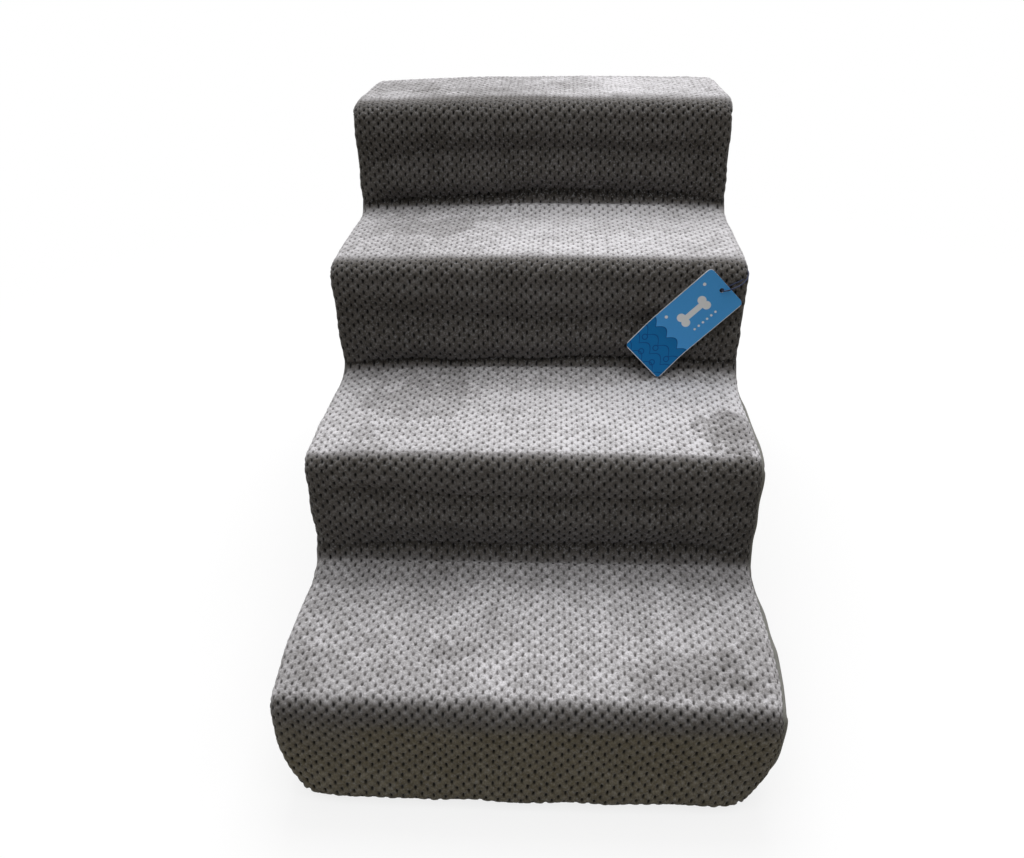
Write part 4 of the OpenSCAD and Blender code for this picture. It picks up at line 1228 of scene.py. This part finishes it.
def makeCord():
    line = smoothLine(cord["route"], cord["steps"]) * mm
    ahead = np.gradient(line, axis=0)
    ahead /= np.linalg.norm(ahead, axis=1, keepdims=True)
    u = np.cross(ahead, [0, 0, 1.0])
    u /= np.linalg.norm(u, axis=1, keepdims=True)
    w = np.cross(u, ahead)
    n, m = len(line), cord["sides"]
    a = np.linspace(0, 2 * np.pi, m, endpoint=False)[None, :, None]
    turned = cord["strands"] * a - cord["twist"] * np.arange(n)[:, None, None]
    r = cord["diameter"] / 2 * (1 + cord["strandDepth"] * np.cos(turned))
    rings = line[:, None] + r * (np.cos(a) * u[:, None] + np.sin(a) * w[:, None])
    faces = [[i * m + j, i * m + (j + 1) % m, (i + 1) * m + (j + 1) % m, (i + 1) * m + j]
             for i in range(n - 1) for j in range(m)]
    faces += [list(range(m))[::-1], [(n - 1) * m + j for j in range(m)]]
    piece = put(meshOf(rings, faces), "tagCord", cordThread, "stairs", ["tag_cord"])


makeCord()
print("tag and cord made")

# the camera of the photo
cameraView = {"place": (0.026956, -0.857078, 0.667712), "focal": 939.245, "width": 1024,
              "yaw": 0.0633706712, "pitch": 0.540121549, "roll": -0.0229969333}


def makeCamera():
    c = cameraView
    right = Vector((math.cos(c["yaw"]), math.sin(c["yaw"]), 0))
    level = math.cos(c["pitch"])
    ahead = Vector((-math.sin(c["yaw"]) * level, math.cos(c["yaw"]) * level, -math.sin(c["pitch"])))
    up = right.cross(ahead)
    turnedRight = math.cos(c["roll"]) * right + math.sin(c["roll"]) * up
    turnedUp = -math.sin(c["roll"]) * right + math.cos(c["roll"]) * up
    data = bpy.data.cameras.new("camera")
    data.sensor_width = 36
    data.lens = c["focal"] / c["width"] * data.sensor_width
    made = bpy.data.objects.new("camera", data)
    turn = Matrix((turnedRight, turnedUp, -ahead)).transposed().to_4x4()
    made.matrix_world = Matrix.Translation(Vector(c["place"])) @ turn
    bpy.context.scene.collection.objects.link(made)
    bpy.context.scene.camera = made


makeCamera()

# the studio: a pale floor, a soft lamp overhead and a dim room
studio = {
    "floorSize": 16.0, "floorSeen": rgb(0.95, 0.95, 0.95), "floorBounce": rgb(0.20, 0.175, 0.115),
    "shadowFrom": 0.55, "shadowTo": 1.3, "shadowDepth": 0.2, "lampSize": 1.3,
    "lampPlace": (0.05, 0.85, 1.95), "lampPower": 26.0, "lampColour": (1.0, 0.995, 1.0),
    "lampAim": (0, 0, 0.2), "sky": 1.5, "skyPower": 2.0,
}


def makeFloor():  # seen as white, with a shadow near the stairs, and darker in its light on them
    bpy.ops.object.select_all(action="DESELECT")
    bpy.ops.mesh.primitive_plane_add(size=studio["floorSize"])
    floor = bpy.context.object
    floor.name = "floor"
    n = newMaterial("paleFloor")
    rays = n.node("LightPath").outputs
    seen = n.larger(rays["Is Camera Ray"], n.larger(rays["Is Glossy Ray"], rays["Is Transmission Ray"]))
    white = n.node("Emission", {"Color": rgb(1, 1, 1), "Strength": 1.0})
    pale = n.node("BsdfDiffuse", {"Color": studio["floorSeen"]})
    bounce = n.node("BsdfDiffuse", {"Color": studio["floorBounce"]})
    away = n.node("VectorMath", {0: n.place()}, operation="LENGTH").outputs["Value"]
    shadow = n.ramp(away, studio["shadowFrom"], studio["shadowTo"], studio["shadowDepth"], 0.0)
    lit = n.node("MixShader", {0: shadow, 1: white, 2: pale})
    n.set(n.tree.nodes["Material Output"].inputs[0], n.node("MixShader", {0: seen, 1: bounce, 2: lit}))
    floor.data.materials.append(n.owner)


def makeLamp():
    lamp = bpy.data.lights.new("overheadLamp", "AREA")
    lamp.shape, lamp.size, lamp.energy = "SQUARE", studio["lampSize"], studio["lampPower"]
    lamp.color = studio["lampColour"]
    made = bpy.data.objects.new("overheadLamp", lamp)
    made.location = studio["lampPlace"]
    made.rotation_euler = (Vector(studio["lampAim"]) - made.location).to_track_quat("-Z", "Y").to_euler()
    bpy.context.scene.collection.objects.link(made)


def makeRoom():  # white where it is seen, and light from high up only
    n = Nodes(bpy.data.worlds.new("room"))
    n.tree.nodes.clear()
    rays = n.node("LightPath").outputs
    up = n.node("SeparateXYZ", {0: n.node("TexCoord").outputs["Generated"]}).outputs[2]
    level = n.times(n.math("POWER", up, studio["skyPower"], clamp=True), studio["sky"])
    seen = n.larger(rays["Is Camera Ray"], rays["Is Glossy Ray"])
    sky = n.node("Background", {0: n.mix(seen, level, rgb(1, 1, 1))})
    n.set(n.node("OutputWorld").inputs[0], sky)
    bpy.context.scene.world = n.owner


makeFloor()
makeLamp()
makeRoom()
bpy.context.scene.view_settings.view_transform = "Standard"
print("camera and studio made")
